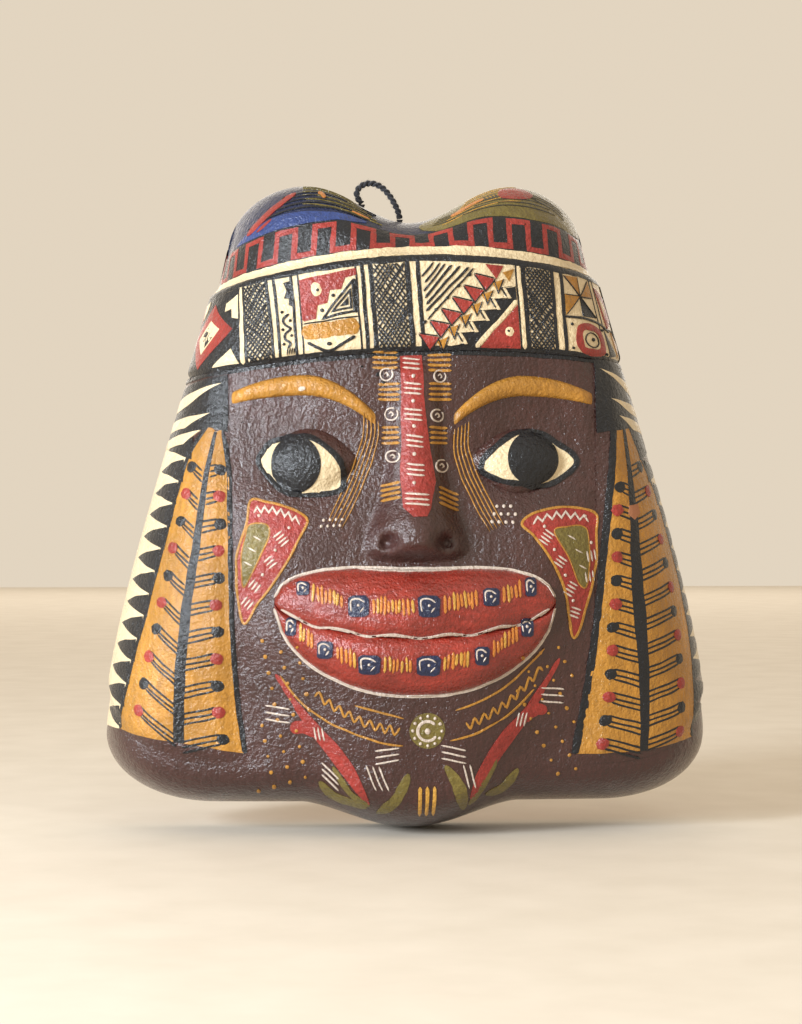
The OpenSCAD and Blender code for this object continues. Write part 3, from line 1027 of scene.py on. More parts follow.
def paint_crown():
    red, ground, blue, olive, strokes, accents, warm, deep, pale = brushes(
        "crown_paint", crown_chart, ("crown_fret", red_paint, SECOND), ("crown_ground", black_paint, FIRST),
        ("crown_blue_lobe", blue_paint, FIRST), ("crown_olive_lobe", olive_paint, FIRST),
        ("crown_dark_strokes", black_paint, SECOND), ("crown_red_strokes", red_paint, THIRD),
        ("crown_orange_strokes", orange_paint, THIRD), ("crown_ochre_streaks", olive_paint, SECOND),
        ("crown_pale_streaks", yellow_paint, SECOND))
    sweep = np.linspace(-98, 98, 57)
    ground.fill([(a, 0.4) for a in sweep] + [(a, fret_top(a) + 1.9) for a in sweep[::-1]])
    path = []
    for i in range(-6, 7):
        a = (i - 0.28) * FRET_PITCH
        left, right = a - FRET_PITCH * 0.25, a + FRET_PITCH * 0.25
        path += [(left, FRET_LOW), (left, fret_top(left)), (right, fret_top(right)), (right, FRET_LOW)]
    red.line(path, FRET_W)

    blue.fill([(-78, 17)] + [(a, fret_top(a) + 2.1) for a in range(-72, -20, 6)]
              + [(-18, 16), (-24, 18.5), (-34, 20.5), (-46, 22), (-56, 22.5), (-68, 20.5)], True)
    olive.fill([(a, fret_top(a) + 2.1) for a in range(10, 76, 6)]
               + [(84, 20), (80, 34), (66, 44), (46, 48), (28, 44), (14, 34), (4, 22), (4, 15)], True)
    for i in range(5):
        strokes.line([(-70 + 5 * i, 22 + 2 * i), (-52, 24 + 2.6 * i), (-34, 23 + 2.9 * i),
                      (-18 + i, 18 + 2.4 * i)], 0.8, True, tips=(6, 8))
    for i in range(4):
        strokes.line([(8 + i, 17 + 2 * i), (24, 20.5 + 2.2 * i), (42, 22.5 + 2.2 * i),
                      (60 - 3 * i, 22 + 2.4 * i)], 0.7, True, tips=(8, 10))
    for i in range(5):
        strokes.line([(29.5 + 1.5 * i, 33), (30.2 + 1.5 * i, 27)], 0.7)
    for i in range(3):
        strokes.line([(49, 33 - 2.2 * i), (58, 31 - 2.4 * i), (66, 27 - 2.4 * i)], 0.9, True, tips=(2, 5))
    accents.line([(-70, 19), (-60, 25), (-52, 31), (-47, 36)], 3.4, True, tips=(5, 4))
    accents.line([(-64, 18.5), (-57, 22)], 1.6, tips=(3, 3))
    accents.fill([(36, 27.5), (46, 27.5), (50, 32), (46, 39), (37, 38)], True)
    warm.line([(-37, 36), (-35, 30)], 2.2, tips=(2, 3))
    warm.line([(16, 22), (23, 27), (29, 30)], 3.0, True, tips=(3, 2))
    warm.line([(-24, 22), (-17, 19)], 1.4, tips=(2, 2))
    for side, streaks in ((-1, deep), (1, pale)):
        for i in range(6):
            streaks.line([(side * (12 + 2 * i), 16 + 3 * i), (side * 26, 22 + 3.4 * i),
                          (side * 44, 26 + 3.6 * i)], 0.5, True, tips=(4, 9))
    finish(red, ground, blue, olive, strokes, accents, warm, deep, pale)


# ---- The headband's painting ----
CELL_LOW, CELL_TOP = 1.2, 33.6
BAND_TO = 104                # how far round the painting goes on each side


def crosshatch(pen, left, right, pitch):
    """Two sets of steep pen lines that fill a cell between two uprights."""
    wide = right - left
    climb = wide * 1.35
    for way in (-1, 1):
        shift = CELL_LOW - climb + pitch / 2
        while shift < CELL_TOP - pitch / 3:
            tilt = climb * rng.uniform(0.94, 1.06)
            start, end = (left, right) if way > 0 else (right, left)
            low, high = max(0, (CELL_LOW - shift) / tilt), min(1, (CELL_TOP - shift) / tilt)
            if high - low > 0.12:
                pen.line([(mix(start, end, share), shift + tilt * share) for share in (low, high)], 0.58)
            shift += pitch * rng.uniform(0.85, 1.15)


def paint_headband():
    black, pen, red, ochre, cream, top = brushes(
        "headband_paint", band_chart, ("headband_black", black_paint, FIRST),
        ("headband_pen_lines", black_paint, THIRD), ("headband_red", red_paint, SECOND),
        ("headband_ochre", ochre_paint, SECOND), ("headband_cream", cream_paint, THIRD),
        ("headband_dots", black_paint, FOURTH))
    stripe = Brush("crown_cream_stripe", cream_paint, "crown_paint", band_chart, SECOND)

    whole = np.linspace(-BAND_TO, BAND_TO, 81)
    stripe.line([(a, BAND_H + 0.2) for a in whole], 3.7)
    black.line([(a, 35.0) for a in whole], 2.6)
    black.line([(a, 0.9) for a in whole], 1.7)
    black.line([(a, -1.0) for a in whole], 1.7)

    def uprights(*pairs):
        for a, width in pairs:
            black.line([(a, CELL_LOW - 0.8), (a, 17), (a, CELL_TOP + 0.8)], width)

    # the diamond at the left, on black, with cream steps in its corners
    black.fill([(-BAND_TO, CELL_LOW), (-67.4, CELL_LOW), (-67.4, CELL_TOP), (-BAND_TO, CELL_TOP)])
    red.fill([(-70.6, 16.6), (-86, 29.8), (-101, 16.6), (-87, 2.8)])
    cream.fill([(-78, 18), (-86, 23), (-94, 16), (-87, 8.7)])
    for way in (-1, 1):
        top.fill([(-86 + way * x, 16 + way * z) for x, z in
                  ((-4.4, 0.6), (-0.4, 4.6), (0.4, 1.2), (2.6, 1.6), (0.6, -0.6), (-1.2, 0.4))])
    cream.fill([(-76, 28.5), (-68.3, 31), (-68.3, 20.5), (-71.5, 21.5), (-72, 25.5), (-76, 25)])
    cream.fill([(-78.6, 2.2), (-71, 8.4), (-68, 1.8)])
    cream.fill([(-99, 31), (-93, 32.2), (-94.4, 28), (-98, 24.6)])
    red.fill([(-BAND_TO + 0.2, 31), (-99.6, 31.6), (-99, 26), (-BAND_TO + 0.2, 22)])
    cream.line([(-66.6, CELL_LOW), (-66.6, CELL_TOP)], 1.5)
    crosshatch(pen, -64.9, -56, 2.1)
    uprights((-65.4, 1.1), (-55.4, 1.1), (-52.7, 1.1))

    # the narrow panel with steps, a snake and dots
    black.fill([(-49.2, 31.6), (-46.4, 32), (-46.4, 21), (-48, 22), (-47.8, 24.6), (-49.6, 25), (-48.4, 28)])
    pen.line([(-48.2, 18.5), (-50.6, 16.6), (-50, 14.4), (-48, 12.6), (-50.2, 10.6), (-50.4, 8.4),
              (-48.4, 6.4), (-49.6, 4.6)], 0.9, True)
    for a, t in ((-50.8, 19.6), (-47.9, 15.8), (-51, 12.6), (-47.8, 9.6), (-51, 6.4)):
        pen.dot(a, t, 0.6)
    for i in range(4):
        pen.line([(-47.4 - 0.9 * i, 2.2), (-46.8 - 0.9 * i, 4.6)], 0.45)
    uprights((-46.2, 1.1), (-43.6, 0.6))

    # the panel with a red staircase, nested triangles and an ochre bar
    left, right = -43.2, -21.7
    red.fill([(left, 31.4), (-21.4, 33), (-21.3, 30.4), (-25.5, 29.8), (-27.4, 25.5), (-31.7, 25.6),
              (-33, 20.8), (-36.8, 20.4), (-38.1, 15.1), (-42.6, 14.6), (left, 15.5)])
    cream.dot(-37, 26.6, 2.1, 2.7, 20)
    top.dot(-36.3, 26.2, 0.8)
    apex, foot, heel = np.array((-23, 28.2)), np.array((-35.3, 14.9)), np.array((-22.8, 16.5))
    heart = np.array((-25.6, 20))
    for share, width in ((0.0, 0.9), (0.42, 0.8)):
        pen.line([tuple(mix(p, heart, share)) for p in (apex, foot, heel)], width, closed=True)
    black.fill([tuple(mix(p, heart, 0.72)) for p in (apex, foot, heel)])
    black.line([(-22.4, 29), (-22.3, 15.8)], 1.5)
    for a, t in ((-30.5, 23.4), (-35.4, 18.2)):
        pen.dot(a, t, 0.75)
    ochre.line([(left - 0.6, 9.9), (-32, 10.4), (right, 10.8)], 6.0, tips=(1.8, 1.8))
    pen.line([(left, 13.5), (-32, 14.0), (right, 14.4)], 0.5)
    pen.line([(-42, 6), (-38, 3.4), (-33.7, 1.9), (-28.5, 4.2), (-23.5, 6.8)], 1.1, True)
    pen.dot(-33.4, 4.6, 1.0, 0.75)
    crosshatch(pen, -14.8, -2.9, 2.3)
    pen.line([(-10.4, 21), (-3.2, 14.6), (-10, 6.5)], 0.55)
    uprights((-21.4, 0.7), (-19, 1.5), (-15.7, 1.8), (-1.9, 2.0), (2.1, 1.6))

    # the wide panel: slanting lines, a run of red and ochre triangles, and a red corner
    for (a0, t0), (a1, t1), width in (
            ((8.2, 33.3), (3.3, 28.1), 0.7), ((10.8, 33), (4.3, 25.8), 0.8),
            ((12.7, 32.7), (3.6, 22.4), 0.8), ((15.2, 32.4), (3.9, 19.9), 0.9),
            ((18.3, 32.1), (4.2, 17.4), 0.9), ((21.7, 31.8), (3.9, 14.8), 0.9),
            ((23.6, 31.5), (4.2, 11.6), 0.6)):
        pen.line([(a0, t0), (a1, t1)], width)
    border = [(39.6, 26)]
    red.fill([(28.4, 33.3), (35.4, 33.1), (32.2, 27.7)])
    for i in range(-1, 6):
        a, t = 23.9 - 4.65 * i, 29.2 - 4.55 * i
        ochre.fill([(a + 6.4, t - 3.2), (min(a + 11, 39.6), t - 1.5), (a + 8.6, t - 6.6)])
        if i < 0:
            continue
        red.fill([(a, t), (a + 7.6, t - 1.6), (a + 3.8, t - 6.2)])
        pen.line([(a - 0.3, t + 0.4), (a + 7.6, t - 1.2)], 0.5)
        pen.line([(a - 0.4, t), (a + 3.6, t - 6.4), (a + 7.9, t - 1.4)], 0.5)
        pen.line([(a + 7.2, t - 2), (a + 8.6, t - 6.9), (a + 11.2, t - 1.3)], 0.5)
        pen.dot(a - 2.2, t - 0.2, 0.85, 0.62, 30)
        border += [(a + 10.8, t - 4.5), (a + 12.8, t - 8.2)] if i < 5 else [(a + 10.6, t - 4.6)]
    black.fill(border + [(12, CELL_LOW), (21.7, CELL_LOW), (31, 10.6), (39.5, 20.4)])
    cream.line(border, 1.0)
    pen.line([(a - 0.9, t - 0.4) for a, t in border], 0.5)
    cream.line([(21.9, CELL_LOW), (31, 10.4), (39.5, 20)], 1.7)
    red.fill([(23.6, CELL_LOW), (39.7, CELL_LOW), (39.7, 18.2), (31.6, 9.4)])
    cream.dot(35.6, 7.5, 1.7, 2.0, -30)
    top.dot(35.3, 7.7, 0.7)
    crosshatch(pen, 44.2, 54, 2.1)
    uprights((40.2, 0.6), (43.2, 1.9), (54.6, 1.3), (58.5, 1.5))
    cream.line([(41.4, CELL_LOW), (41.4, CELL_TOP)], 1.5)

    # the pinwheel, the ring below it and the triangles beyond
    hub = (67, 25.3)
    spokes = [(59.6, 33), (67, 33.2), (74.6, 33), (75.2, 25.6), (75.4, 17.4), (67.2, 16.8), (59.6, 16.4),
              (59.4, 25)]
    for i, brush in ((0, ochre), (2, ochre), (4, black), (6, ochre)):
        brush.fill([hub, spokes[i], spokes[i + 1]])
    for spoke in spokes:
        pen.line([hub, spoke], 0.4)
    pen.line([(59, 15.6), (68, 16), (77, 15.2), (84, 12.8)], 0.9, True)
    red.line([(64.6, 4.4), (64.4, 10.2), (66.8, 12.6), (72.8, 12.4), (75.6, 10), (75.4, 4.6), (73, 2.6),
              (67, 2.6)], 2.7, True, True)
    top.dot(70.4, 7.6, 0.75)
    pen.line(oval(70, 7.4, 3.3, 3.0), 0.4, closed=True)
    for a, t in ((61.6, 13), (77.6, 12.6), (61.4, 3), (77.4, 2.6)):
        pen.dot(a, t, 0.6)
    uprights((76.4, 0.6), (79.6, 0.6))
    red.fill([(80.2, 31), (91, 28), (92.6, 19), (83.6, 14)])
    cream.fill([(82.4, 27.4), (88, 24.6), (83.6, 19)])
    black.fill([(80, 12), (86, 3), (80, 1.8)])
    ochre.fill([(86.6, 13), (93.4, 8), (88, 2.4)])
    pen.line([(80.2, 13.6), (88, 13.8), (95, 11)], 0.6)
    pen.line([(95.4, CELL_LOW), (95.4, CELL_TOP)], 0.8)
    ochre.fill([(97, 30), (102.6, 25), (97, 18)])
    red.fill([(97, 14), (102.6, 9), (97, 3)])
    finish(stripe, black, pen, red, ochre, cream, top)


# ---- The brows' and eyes' painting ----
def paint_eyes():
    """From the front: a cream opening with a dark outline and a large dark iris."""
    whites, rims, iris = brushes("eye_paint", from_front, ("eye_whites", cream_paint, FIRST),
                                 ("eye_outlines", black_paint, FOURTH), ("eye_irises", black_paint, FOURTH))
    openings = (
        [(-58.9, 139.3), (-56.6, 144), (-54.3, 146.7), (-49.8, 148.2), (-45.2, 148.7), (-39.9, 148.6),
         (-35.2, 146.3), (-31.2, 142.9), (-28.3, 139.3), (-27, 134.8), (-27.5, 129), (-34.6, 127.1),
         (-44.5, 127), (-49.8, 128.5), (-54, 132.3)],
        [(25.5, 138.7), (27, 141.4), (35.7, 149), (41.8, 150.9), (48.3, 150.7), (53.2, 148), (62.5, 140.3),
         (55.3, 132.7), (46.6, 130.1), (40.5, 131.4), (32.6, 132.3), (25.7, 135.8)])
    for opening, (x, z, r, r2) in zip(openings, ((-44.8, 138.4, 9.2, 10.6), (45, 140.9, 9.9, 10))):
        whites.fill(opening, True, 1.3)
        rims.line(opening, 2.1, True, True)
        iris.fill(oval(x, z, r, r2, 20), True, 1.5)
    finish(whites, rims, iris)


def paint_chips():
    """The worn spot on a brow, dark dots of painted shade in two small hollows by the nose stripe, and a chip
    out of the right lappet.
    """
    worn = Brush("brow_worn_spot", chalk_paint, "brow_paint", from_front, FIRST)
    worn.dot(-42.6, 167.2, 1.4, 0.8, 10)
    # painted shade: black dots for the shadow inside small holes in the clay, which are not modelled
    pit_shade = Brush("face_pit_painted_shade", black_paint, "face_paint", from_front, FIRST)
    for a, z, r, r2 in ((-13.4, 172.8, 1.3, 0.8), (-11.6, 169.2, 0.9, 1.2), (-20, 175.5, 0.5, 0.4)):
        pit_shade.dot(a, z, r, r2, 30)
    chip = Brush("right_lappet_chip", raw_clay_material, "lappet_paint", right_chart, FOURTH)
    chip.fill([(13.6, 123), (18.4, 123.6), (19.2, 120), (16.2, 117.4), (13.2, 119.4)])
    finish(worn, pit_shade, chip)


# ---- The nose and the middle of the face ----
def paint_nose():
    red, chalk, ochre = brushes("face_paint", from_front, ("nose_stripe", red_paint, FIRST),
                                ("nose_chalk_marks", chalk_paint, THIRD),
                                ("nose_ochre_strokes", ochre_paint, SECOND))
    red.fill([(-5.6, 179.6), (-5.3, 165), (-5.4, 150), (-5.9, 132), (-5.2, 122), (-1.5, 118.6), (3.6, 119),
              (5.2, 122), (7.3, 132), (4.6, 150), (3.2, 165), (2.7, 180)])
    for i, z in enumerate((176.3, 167, 157, 147, 136.3, 125)):
        reach = 3.3 if i < 5 else 4.6
        for j in (-1, 0, 1):
            x, level = -1.4 + 0.3 * i, z + 1.9 * j
            chalk.line([(x - reach, level + 0.5), (x + reach, level - 0.2)], 0.7)
    for z in (171.8, 162.3, 152.8, 142.3, 131.4):
        chalk.dot(-0.8, z, 0.7)
    for x, z in ((-10.6, 172.6), (-8.7, 157.5), (-8.4, 141.4), (9.3, 171.8), (8.4, 157), (10, 137.7)):
        chalk.line(oval(x, z, 2.4, 2.3, 15, 60, 400), 0.55, True)
        chalk.line([(x - 0.9, z), (x, z + 0.8), (x + 0.8, z - 0.2), (x, z - 0.8)], 0.5, True)
    spots = [(3 * (i % 4) - 4.4 + (i // 4) * 1.1, 2.9 * (i // 4) - 4.2) for i in range(11)]
    for dx, dz in spots:
        chalk.dot(33 + dx * 0.9, 121 + dz, 0.66)
    for dx, dz in spots[:8]:
        chalk.dot(-32 + dx * 0.8, 118.6 + dz * 0.8, 0.58)
    chalk.line([(-24, 99.6), (-8, 98.6), (8, 98.8), (22, 100)], 0.8, True, tips=(5, 5))
    for far, near, z, fall in (
            (-16, -6.5, 178, 0), (-14, -5.7, 166, 0), (-12.5, -6, 149.5, 0), (-13, -6, 129, -1.8),
            (14, 4.8, 177, 0), (14, 5, 166, 0), (12.5, 5.2, 149.5, 0), (16.5, 8.6, 127, -3)):
        for j in range(4):
            ochre.line([(near, z + 2.9 - 1.95 * j), (far, z + 2.9 - 1.95 * j + fall)], 1.0)
    for side, path in ((-1, [(-13.7, 155), (-14.3, 146), (-19.4, 131), (-27.7, 114)]),
                       (1, [(15.2, 152), (15.2, 141.6), (19.8, 128.3), (28.1, 113)])):
        for j in range(5):
            ochre.line([(x + side * 1.35 * j, z + 0.7 * j) for x, z in path], 0.42, True, tips=(2, 8))
    finish(red, chalk, ochre)


# ---- The cheeks' painting ----
def paint_cheeks():
    left = [(-61.7, 124.9), (-55.9, 124.3), (-49.9, 123), (-43.4, 120.1), (-40.5, 117.2), (-43, 111.8),
            (-47.1, 104.2), (-52.8, 94.3), (-59.4, 85.9), (-64.3, 78.3), (-66.7, 87.1), (-67.3, 99.7),
            (-66.3, 107), (-63.5, 116.1)]
    right = [(40.5, 116.2), (45.8, 120.3), (57.4, 122.4), (68.9, 120.3), (69.7, 112.9), (68.9, 99.7),
             (66.4, 88.2), (60.6, 72.5), (57.4, 88.2), (54, 97.7), (50.4, 103.8), (45, 111.2)]
    red, olive, edge, chalk = brushes(
        "face_paint", from_front, ("cheek_red", red_paint, FIRST), ("cheek_olive", olive_paint, SECOND),
        ("cheek_edges", ochre_paint, THIRD), ("cheek_chalk_marks", chalk_paint, THIRD))
    for outline in (left, right):
        red.fill(outline, True)
        edge.line(outline, 0.9, True, True)
    for leaf in ([(-62.4, 115.6), (-56.1, 115.6), (-54.8, 112), (-57.4, 105.6), (-61.5, 97), (-64.8, 92.3),
                  (-65.2, 103.4), (-64, 110.7)],
                 [(52.6, 113.4), (58, 115), (63.9, 115), (66.4, 111.2), (65.8, 93.5), (62.6, 93),
                  (58.1, 103.6)]):
        olive.fill(leaf, True)
        edge.line(leaf, 0.5, True, True)
    count = 12
    for (x0, z0), (x1, z1) in (((-60.8, 120.6), (-43.4, 116.2)), ((44.6, 116.4), (66.6, 117.4))):
        chalk.line([(mix(x0, x1, i / count), mix(z0, z1, i / count) + (1.5 if i % 2 else -0.8)
                     + 2.2 * math.sin(math.pi * i / count)) for i in range(count + 1)], 0.7)
    for x, z, turn, count in (
            (-50.5, 110.5, 40, 4), (-54.5, 101.5, 40, 3), (-60.4, 92.6, 50, 3), (-63.2, 86.2, 50, 3),
            (49.6, 111, -35, 4), (55, 101.8, -35, 3), (59, 91.4, -30, 4), (60.8, 82.5, -20, 3),
            (67.2, 104, -80, 3), (66.6, 96, -80, 3)):
        c, s = math.cos(math.radians(turn)), math.sin(math.radians(turn))
        for j in range(count):
            off = 1.5 * (j - (count - 1) / 2)
            chalk.line([(x + reach * c - off * s, z + reach * s + off * c) for reach in (-2.1, 2.1)], 0.65)
    for x, z in ((-47.6, 114.6), (-52.6, 106.2), (-57.4, 97), (-58.8, 119), (52.6, 106.4), (56.8, 96.6),
                 (60, 87), (49, 115), (65.2, 119), (67.4, 109)):
        chalk.dot(x, z, 0.62)
    for x, z in ((-59.6, 110.5), (-61.4, 106), (-62.8, 101), (59.4, 110.6), (62.2, 105.6), (63.6, 99.6)):
        chalk.line([(x - 1.4, z + 1), (x + 1.6, z - 0.6)], 0.55)
    finish(red, olive, edge, chalk)


# ---- The lips' painting ----
def paint_lips():
    chalk, blue, marks, dash, pale = brushes(
        "lip_paint", from_front, ("lip_outline", chalk_paint, THIRD), ("lip_blue_spots", navy_paint, THIRD),
        ("lip_spot_marks", chalk_paint, FOURTH), ("lip_orange_dashes", orange_paint, SECOND),
        ("lip_yellow_dashes", yellow_paint, THIRD))
    t = np.linspace(0.0, 1, 41)
    over_x, over_z = upper_place(t, 1.0)
    under_x, under_z = lower_place(t, -1.0)
    chalk.line([(x, z + 0.4) for x, z in zip(over_x, over_z)], 1.05)
    chalk.line([(x, z - 0.2) for x, z in zip(under_x, under_z)], 1.05)
    parting = [(x, parting_z(s) + 0.4 + 0.7 * math.sin(s * 34)) for s, x in zip(t, lip_x(t))]
    chalk.line(parting[1:-1], 1.0, True, tips=(4, 4))
    upper = [(-42.5, 91.9, 2.4, 2.6), (-22, 85.6, 3.9, 4), (4, 85.6, 4.3, 4), (27.6, 88.8, 3.2, 3.4),
             (43, 92.4, 2.3, 3.4)]
    lower = [(-47, 77.6, 2, 3.2), (-34.4, 69.3, 3, 3.2), (-18.1, 64, 4.2, 3.7), (3.8, 63.6, 4.6, 3.8),
             (24, 67, 2.9, 3.4), (41.6, 77.2, 2.5, 3.4)]
    square = ((-0.9, -0.8), (-0.95, 0.75), (-0.5, 1), (0.7, 0.95), (1, 0.6), (0.92, -0.8), (0.5, -1),
              (-0.6, -1))
    for x, z, r, r2 in upper + lower:
        blue.fill([(x + r * dx, z + r2 * dz) for dx, dz in square])
        marks.line([(x - 0.62 * r, z - 0.5 * r2), (x - 0.66 * r, z + 0.5 * r2), (x, z + 0.66 * r2),
                    (x + 0.6 * r, z + 0.3 * r2)], 0.62, True)
        marks.line([(x + 0.55 * r, z - 0.1 * r2), (x + 0.15 * r, z - 0.62 * r2)], 0.62)
        marks.dot(x + 0.02 * r, z + 0.04 * r2, 0.55)
    for row in (upper, lower):
        for (x0, z0, r0, _), (x1, z1, r1, _) in zip(row, row[1:]):
            x, last = x0 + r0 + 1.6, x1 - r1 - 1.2
            while x < last:
                s = (x - x0) / (x1 - x0)
                z = mix(z0, z1, s) + rng.uniform(-0.5, 0.5)
                reach = rng.uniform(2.2, 3.5)
                brush = pale if rng.random() < 0.35 else dash
                brush.line([(x, z + reach), (x + rng.uniform(-0.4, 0.4), z - reach)], 0.95)
                x += rng.uniform(1.25, 1.75)
    finish(chalk, blue, marks, dash, pale)


# ---- The chin's painting ----
def paint_chin():
    red, chalk, ochre, olive, bead, yellow = brushes(
        "face_paint", from_front, ("chin_red_branches", red_paint, FIRST),
        ("chin_chalk_marks", chalk_paint, THIRD), ("chin_ochre_lines", ochre_paint, SECOND),
        ("chin_olive_leaves", olive_paint, FIRST), ("chin_medallion_marks", chalk_paint, FOURTH),
        ("chin_yellow_strokes", yellow_paint, THIRD))
    branches = (([(-52.7, 59.5), (-45.2, 48.6), (-40.1, 41.5), (-29.5, 28.9), (-22.8, 19.1), (-17.4, 9.7)],
                 ((-47, 38.6), (-42, 39.4), (-37, 37)), -1),
                ([(55.1, 65), (49.3, 55.1), (43, 44.9), (34, 34.1), (25.1, 20.7), (21.5, 11.7)],
                 ((50.6, 45), (46, 45.6), (41.5, 42)), 1))
    for path, knob, side in branches:
        red.line(path[:4], 2.0, True, tips=(5, 1))
        red.fill(ribbon(path[1:], (2.0, 3.8, 5.6, 4.2, 1.0)), True)
        red.line(knob, 4.4, True, tips=(2.2, 1))
        x, z = knob[2]
        for j in range(3):
            chalk.line([(x + side * (1.5 * j - 2), z + 2.6), (x + side * (1.5 * j - 3), z - 2.6)], 0.55)
    for x, z, dx, dz, count, gap in (
            (-56.4, 47.6, 9.4, -1.6, 3, -2.6), (57, 53, -9, 1, 3, -2.6), (-35, 26, 6.6, -6.4, 3, -2.3),
            (-18.6, 25, 4, -9.5, 3, 2.4), (-15.2, 30.6, 9, 1.6, 3, -2.4), (9.6, 32.8, 9.4, -2, 3, -2.4),
            (18, 25.4, 2.4, -9, 2, 2.4)):
        for j in range(count):
            ox, oz = (gap * j, 0) if abs(dz) > abs(dx) else (0, gap * j)
            chalk.line([(x + ox, z + oz), (x + ox + dx, z + oz + dz)], 0.6)
    for path in ([(-51, 59), (-43, 49), (-33.4, 41.9), (-24, 37.7), (-13.8, 34.1), (-4.8, 32.9)],
                 [(-23, 48), (-13.8, 45.4), (-4.8, 43)],
                 [(48.8, 69), (41.7, 61.5), (33.2, 54.3), (25, 49.8), (14.8, 46.2)],
                 [(45.2, 53.4), (40.3, 48.4), (35, 43.9), (31.8, 41.7)],
                 [(31.8, 41.7), (24, 37.6), (13, 34.4)]):
        ochre.line(path, 0.75, True, tips=(4, 4))
    count = 17
    for (x0, z0), (x1, z1), sag in (((-38, 52.6), (-6, 38.2), -2.6), ((48.4, 61.9), (18.8, 39.9), -3)):
        ochre.line([(mix(x0, x1, i / count), mix(z0, z1, i / count) + sag * math.sin(math.pi * i / count)
                     + (1.5 if i % 2 else -1.5)) for i in range(count + 1)], 0.8, True)
    for i in range(30):
        x, z = 40 + (i * 7.3) % 24, 17 + i * 1.8
        if x + 0.3 * z > 54:
            ochre.dot(x - 0.12 * z + 3, z, rng.uniform(0.5, 0.8))
    for i in range(30):
        ochre.dot(-59 + (i * 5.9) % 19 + 0.05 * i, 14 + i * 2.0, rng.uniform(0.5, 0.85))
    for path, width in (([(-36, 18.6), (-30, 12.4), (-18, 8.4)], 3.2), ([(-2.6, 22), (-7, 12), (-14, 6)], 4.2),
                        ([(11.2, 25), (16.4, 17), (19.3, 7)], 4.4),
                        ([(39.6, 23), (34, 15.6), (27.2, 13.2)], 3.4),
                        ([(-31, 24.5), (-24, 14), (-17, 9)], 2.2), ([(31, 27), (26, 17), (21, 9)], 2.2)):
        olive.line(path, width, True, tips=(width * 2, width * 1.4))
    middle = (4.3, 38.4)
    olive.fill(oval(*middle, 6.7, 6.7, 22), True)
    bead.line(oval(*middle, 3.7, 3.7, 16, 40, 330), 1.1, True)
    bead.dot(*middle, 1.1)
    for x, z in oval(*middle, 5.5, 5.5, 12):
        bead.dot(x, z, 0.62)
    for x in (1.8, 4.5, 7.2):
        yellow.line([(x, 17), (x + 0.2, 5.4)], 1.3)
    finish(ochre, olive, bead, yellow, red, chalk)


# ---- The lappets' painting ----
def at_height(path, z):
    points = np.array(path, float)[::-1]
    return float(np.interp(z, points[:, 1], points[:, 0]))


def rim_run(z):
    """Nearly how far round from a lappet's inner edge the back rim lies."""
    return 82 - 0.39 * (z - 51)


def paint_lappet(side, name, chart, inner, spine, outer, inner_w, spine_w, outer_w, match_rows):
    """Two ochre halves beside a dark spine, set with rows of matchsticks, and a toothed cream edge."""
    ochre, field, black, red, wedge = brushes(
        "lappet_paint", chart, (name + "_ochre", ochre_paint, FIRST), (name + "_cream", cream_paint, FIRST),
        (name + "_black", black_paint, SECOND), (name + "_red_heads", red_paint, FOURTH),
        (name + "_cream_wedges", cream_paint, THIRD))
    ochre.fill(strip(inner, spine))
    ochre.fill(strip(spine, outer))
    black.line(inner, inner_w, True, tips=(6, 0.6))
    black.line(outer, outer_w, True, tips=(8, 0.8))
    black.fill(ribbon(spine, spine_w))
    edge = [p for p in outer if 36 < p[1] < 148]
    field.fill(strip(edge, [(rim_run(p[1]), p[1]) for p in edge]))
    z = 145.0
    while z > 38:
        a, lean = at_height(outer, z), mix(-0.6, 2.6, (148 - z) / 110)
        black.fill([(a, z + 4.2), (a + 10, z + 3.0 + 0.3 * lean), (a + 21, z + lean),
                    (a + 13, z - 1.4 + 0.3 * lean), (a + 6, z - 3.0), (a, z - 4.6)])
        z -= 8.6
    for half_name, first, pitch, count, share, drop in match_rows:
        for i in range(count):
            z = first - pitch * i
            outwards = 1 if half_name == "outer" else -1
            limit, middle = at_height(outer if outwards > 0 else inner, z), at_height(spine, z)
            head = mix(middle, limit, share) + rng.uniform(-0.6, 0.6)
            root = at_height(spine, z - drop * abs(head - middle)) + outwards * 1.2
            if abs(head - root) < 3:
                continue
            fall = drop * abs(head - root)
            (red if i % 2 else black).dot(head, z, 2.5, 2.2)
            for j in (-1, 0, 1):
                start = head - outwards * (0.9 if j else 0)
                black.line([(start, z + 1.9 * j), (root, z + 2.1 * j - fall)], 0.8)
    top = BAND_Z - BAND_LOW_SAG + side * BAND_TILT
    black.fill([(0.4, 151), (outer[0][0] + 1, 153), (26, 146), (rim_run(147), 145), (rim_run(top), top - 4),
                (18, top - 1.6), (0.4, top + 0.4)])
    for a, z, low, high in ((3, top - 2.6, top - 14, top - 8), (8, top - 14, top - 21.5, top - 16.4),
                            (12, top - 20.5, top - 28, top - 23.6)):
        rim = rim_run(high)
        wedge.fill([(a, z), (rim, high - 1), (rim, low), (22, mix(low, z, 0.34) - 0.6)])
    finish(field, ochre, black, red, wedge)


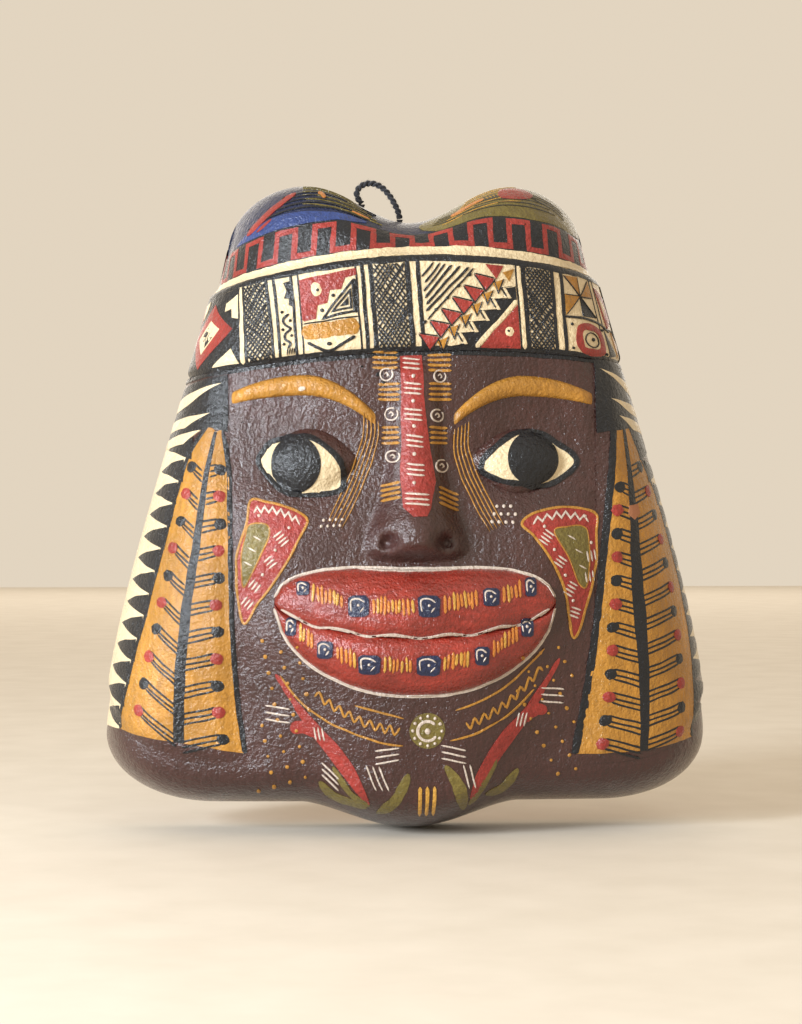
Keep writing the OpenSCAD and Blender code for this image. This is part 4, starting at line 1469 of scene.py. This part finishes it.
def paint_lappets():
    paint_lappet(-1, "left_lappet", left_chart,
                 [(2.6, 152), (0.6, 140), (0, 125), (0.2, 90), (0.2, 57), (-1, 29)],
                 [(5.3, 151), (9, 135), (13, 112), (17.6, 87), (21.5, 60), (24.6, 33)],
                 [(8.4, 154), (16, 145), (20.5, 136), (24.5, 125), (30, 107), (36, 88), (43, 68), (50, 50),
                  (56, 37)],
                 1.9, (1.2, 2.2, 3.2, 3.8, 4.4, 4.4), 2.0,
                 (("outer", 137.6, 10.3, 10, 0.62, 0.75), ("inner", 136.5, 10.2, 11, 0.68, 0.2)))
    paint_lappet(1, "right_lappet", right_chart,
                 [(8.5, 156), (5, 125), (1.6, 88), (-0.8, 57), (-3.4, 28)],
                 [(14, 154), (15, 135), (16.5, 110), (18, 87), (22, 57), (24.4, 29)],
                 [(17, 156), (28, 138), (38, 124), (45, 105), (49, 90), (51, 60), (51, 33)],
                 3.0, (1.8, 2.8, 4.4, 5.4, 4.6, 3.4), 2.4,
                 (("inner", 130.0, 8.9, 12, 0.62, 0.25), ("outer", 138.0, 9.3, 12, 0.62, 0.3)))


paint_crown()
paint_headband()
paint_eyes()
paint_nose()
paint_cheeks()
paint_lips()
paint_chin()
paint_lappets()
paint_chips()


# ---- Floor and light ----
def floor():
    material, tree, shader = new_material("floor_material")
    tone = ramp(tree, noise_node(tree, 30, 3), 0.3, 0.7)
    tree.links.new(blend_colours(tree, tone, (0.67, 0.60, 0.50), (0.72, 0.65, 0.55)),
                   shader.inputs["Base Color"])
    shader.inputs["Roughness"].default_value = 0.8
    half, level = 3000, BASE_Z - 0.3
    mesh = bpy.data.meshes.new("floor")
    corners = [(-half, -half, level), (half, -half, level), (half, half, level), (-half, half, level)]
    mesh.from_pydata([tuple(c * MM for c in corner) for corner in corners], [], [(0, 1, 2, 3)])
    mesh.materials.append(material)
    made = bpy.data.objects.new("floor", mesh)
    bpy.context.scene.collection.objects.link(made)


def area_light(name, place, aim, size, power, colour):
    data = bpy.data.lights.new(name, "AREA")
    data.shape = "RECTANGLE"
    data.size, data.size_y = size
    data.energy = power
    data.color = colour
    made = bpy.data.objects.new(name, data)
    bpy.context.scene.collection.objects.link(made)
    made.location = place
    made.rotation_mode = "QUATERNION"
    made.rotation_quaternion = (Vector(aim) - Vector(place)).to_track_quat("-Z", "Y")


def lights():
    middle = (0, 0, 0.12)
    area_light("window", (-1.0, -0.85, 0.4), middle, (0.3, 0.45), 31, (0.84, 0.92, 1.0))
    area_light("room", (0.2, -1.3, 1.3), middle, (1.6, 1.2), 5, (1.0, 0.93, 0.84))
    area_light("floor_fill", (0.0, 2.6, 0.8), (0, 1.5, 0), (2.4, 1.0), 9, (1.0, 0.95, 0.88))
    world = bpy.data.worlds.new("world")
    world.use_nodes = True
    background = world.node_tree.nodes["Background"]
    background.inputs["Color"].default_value = (0.90, 0.78, 0.62, 1)
    background.inputs["Strength"].default_value = 0.85
    bpy.context.scene.world = world
    bpy.context.scene.view_settings.view_transform = "Standard"


floor()
lights()
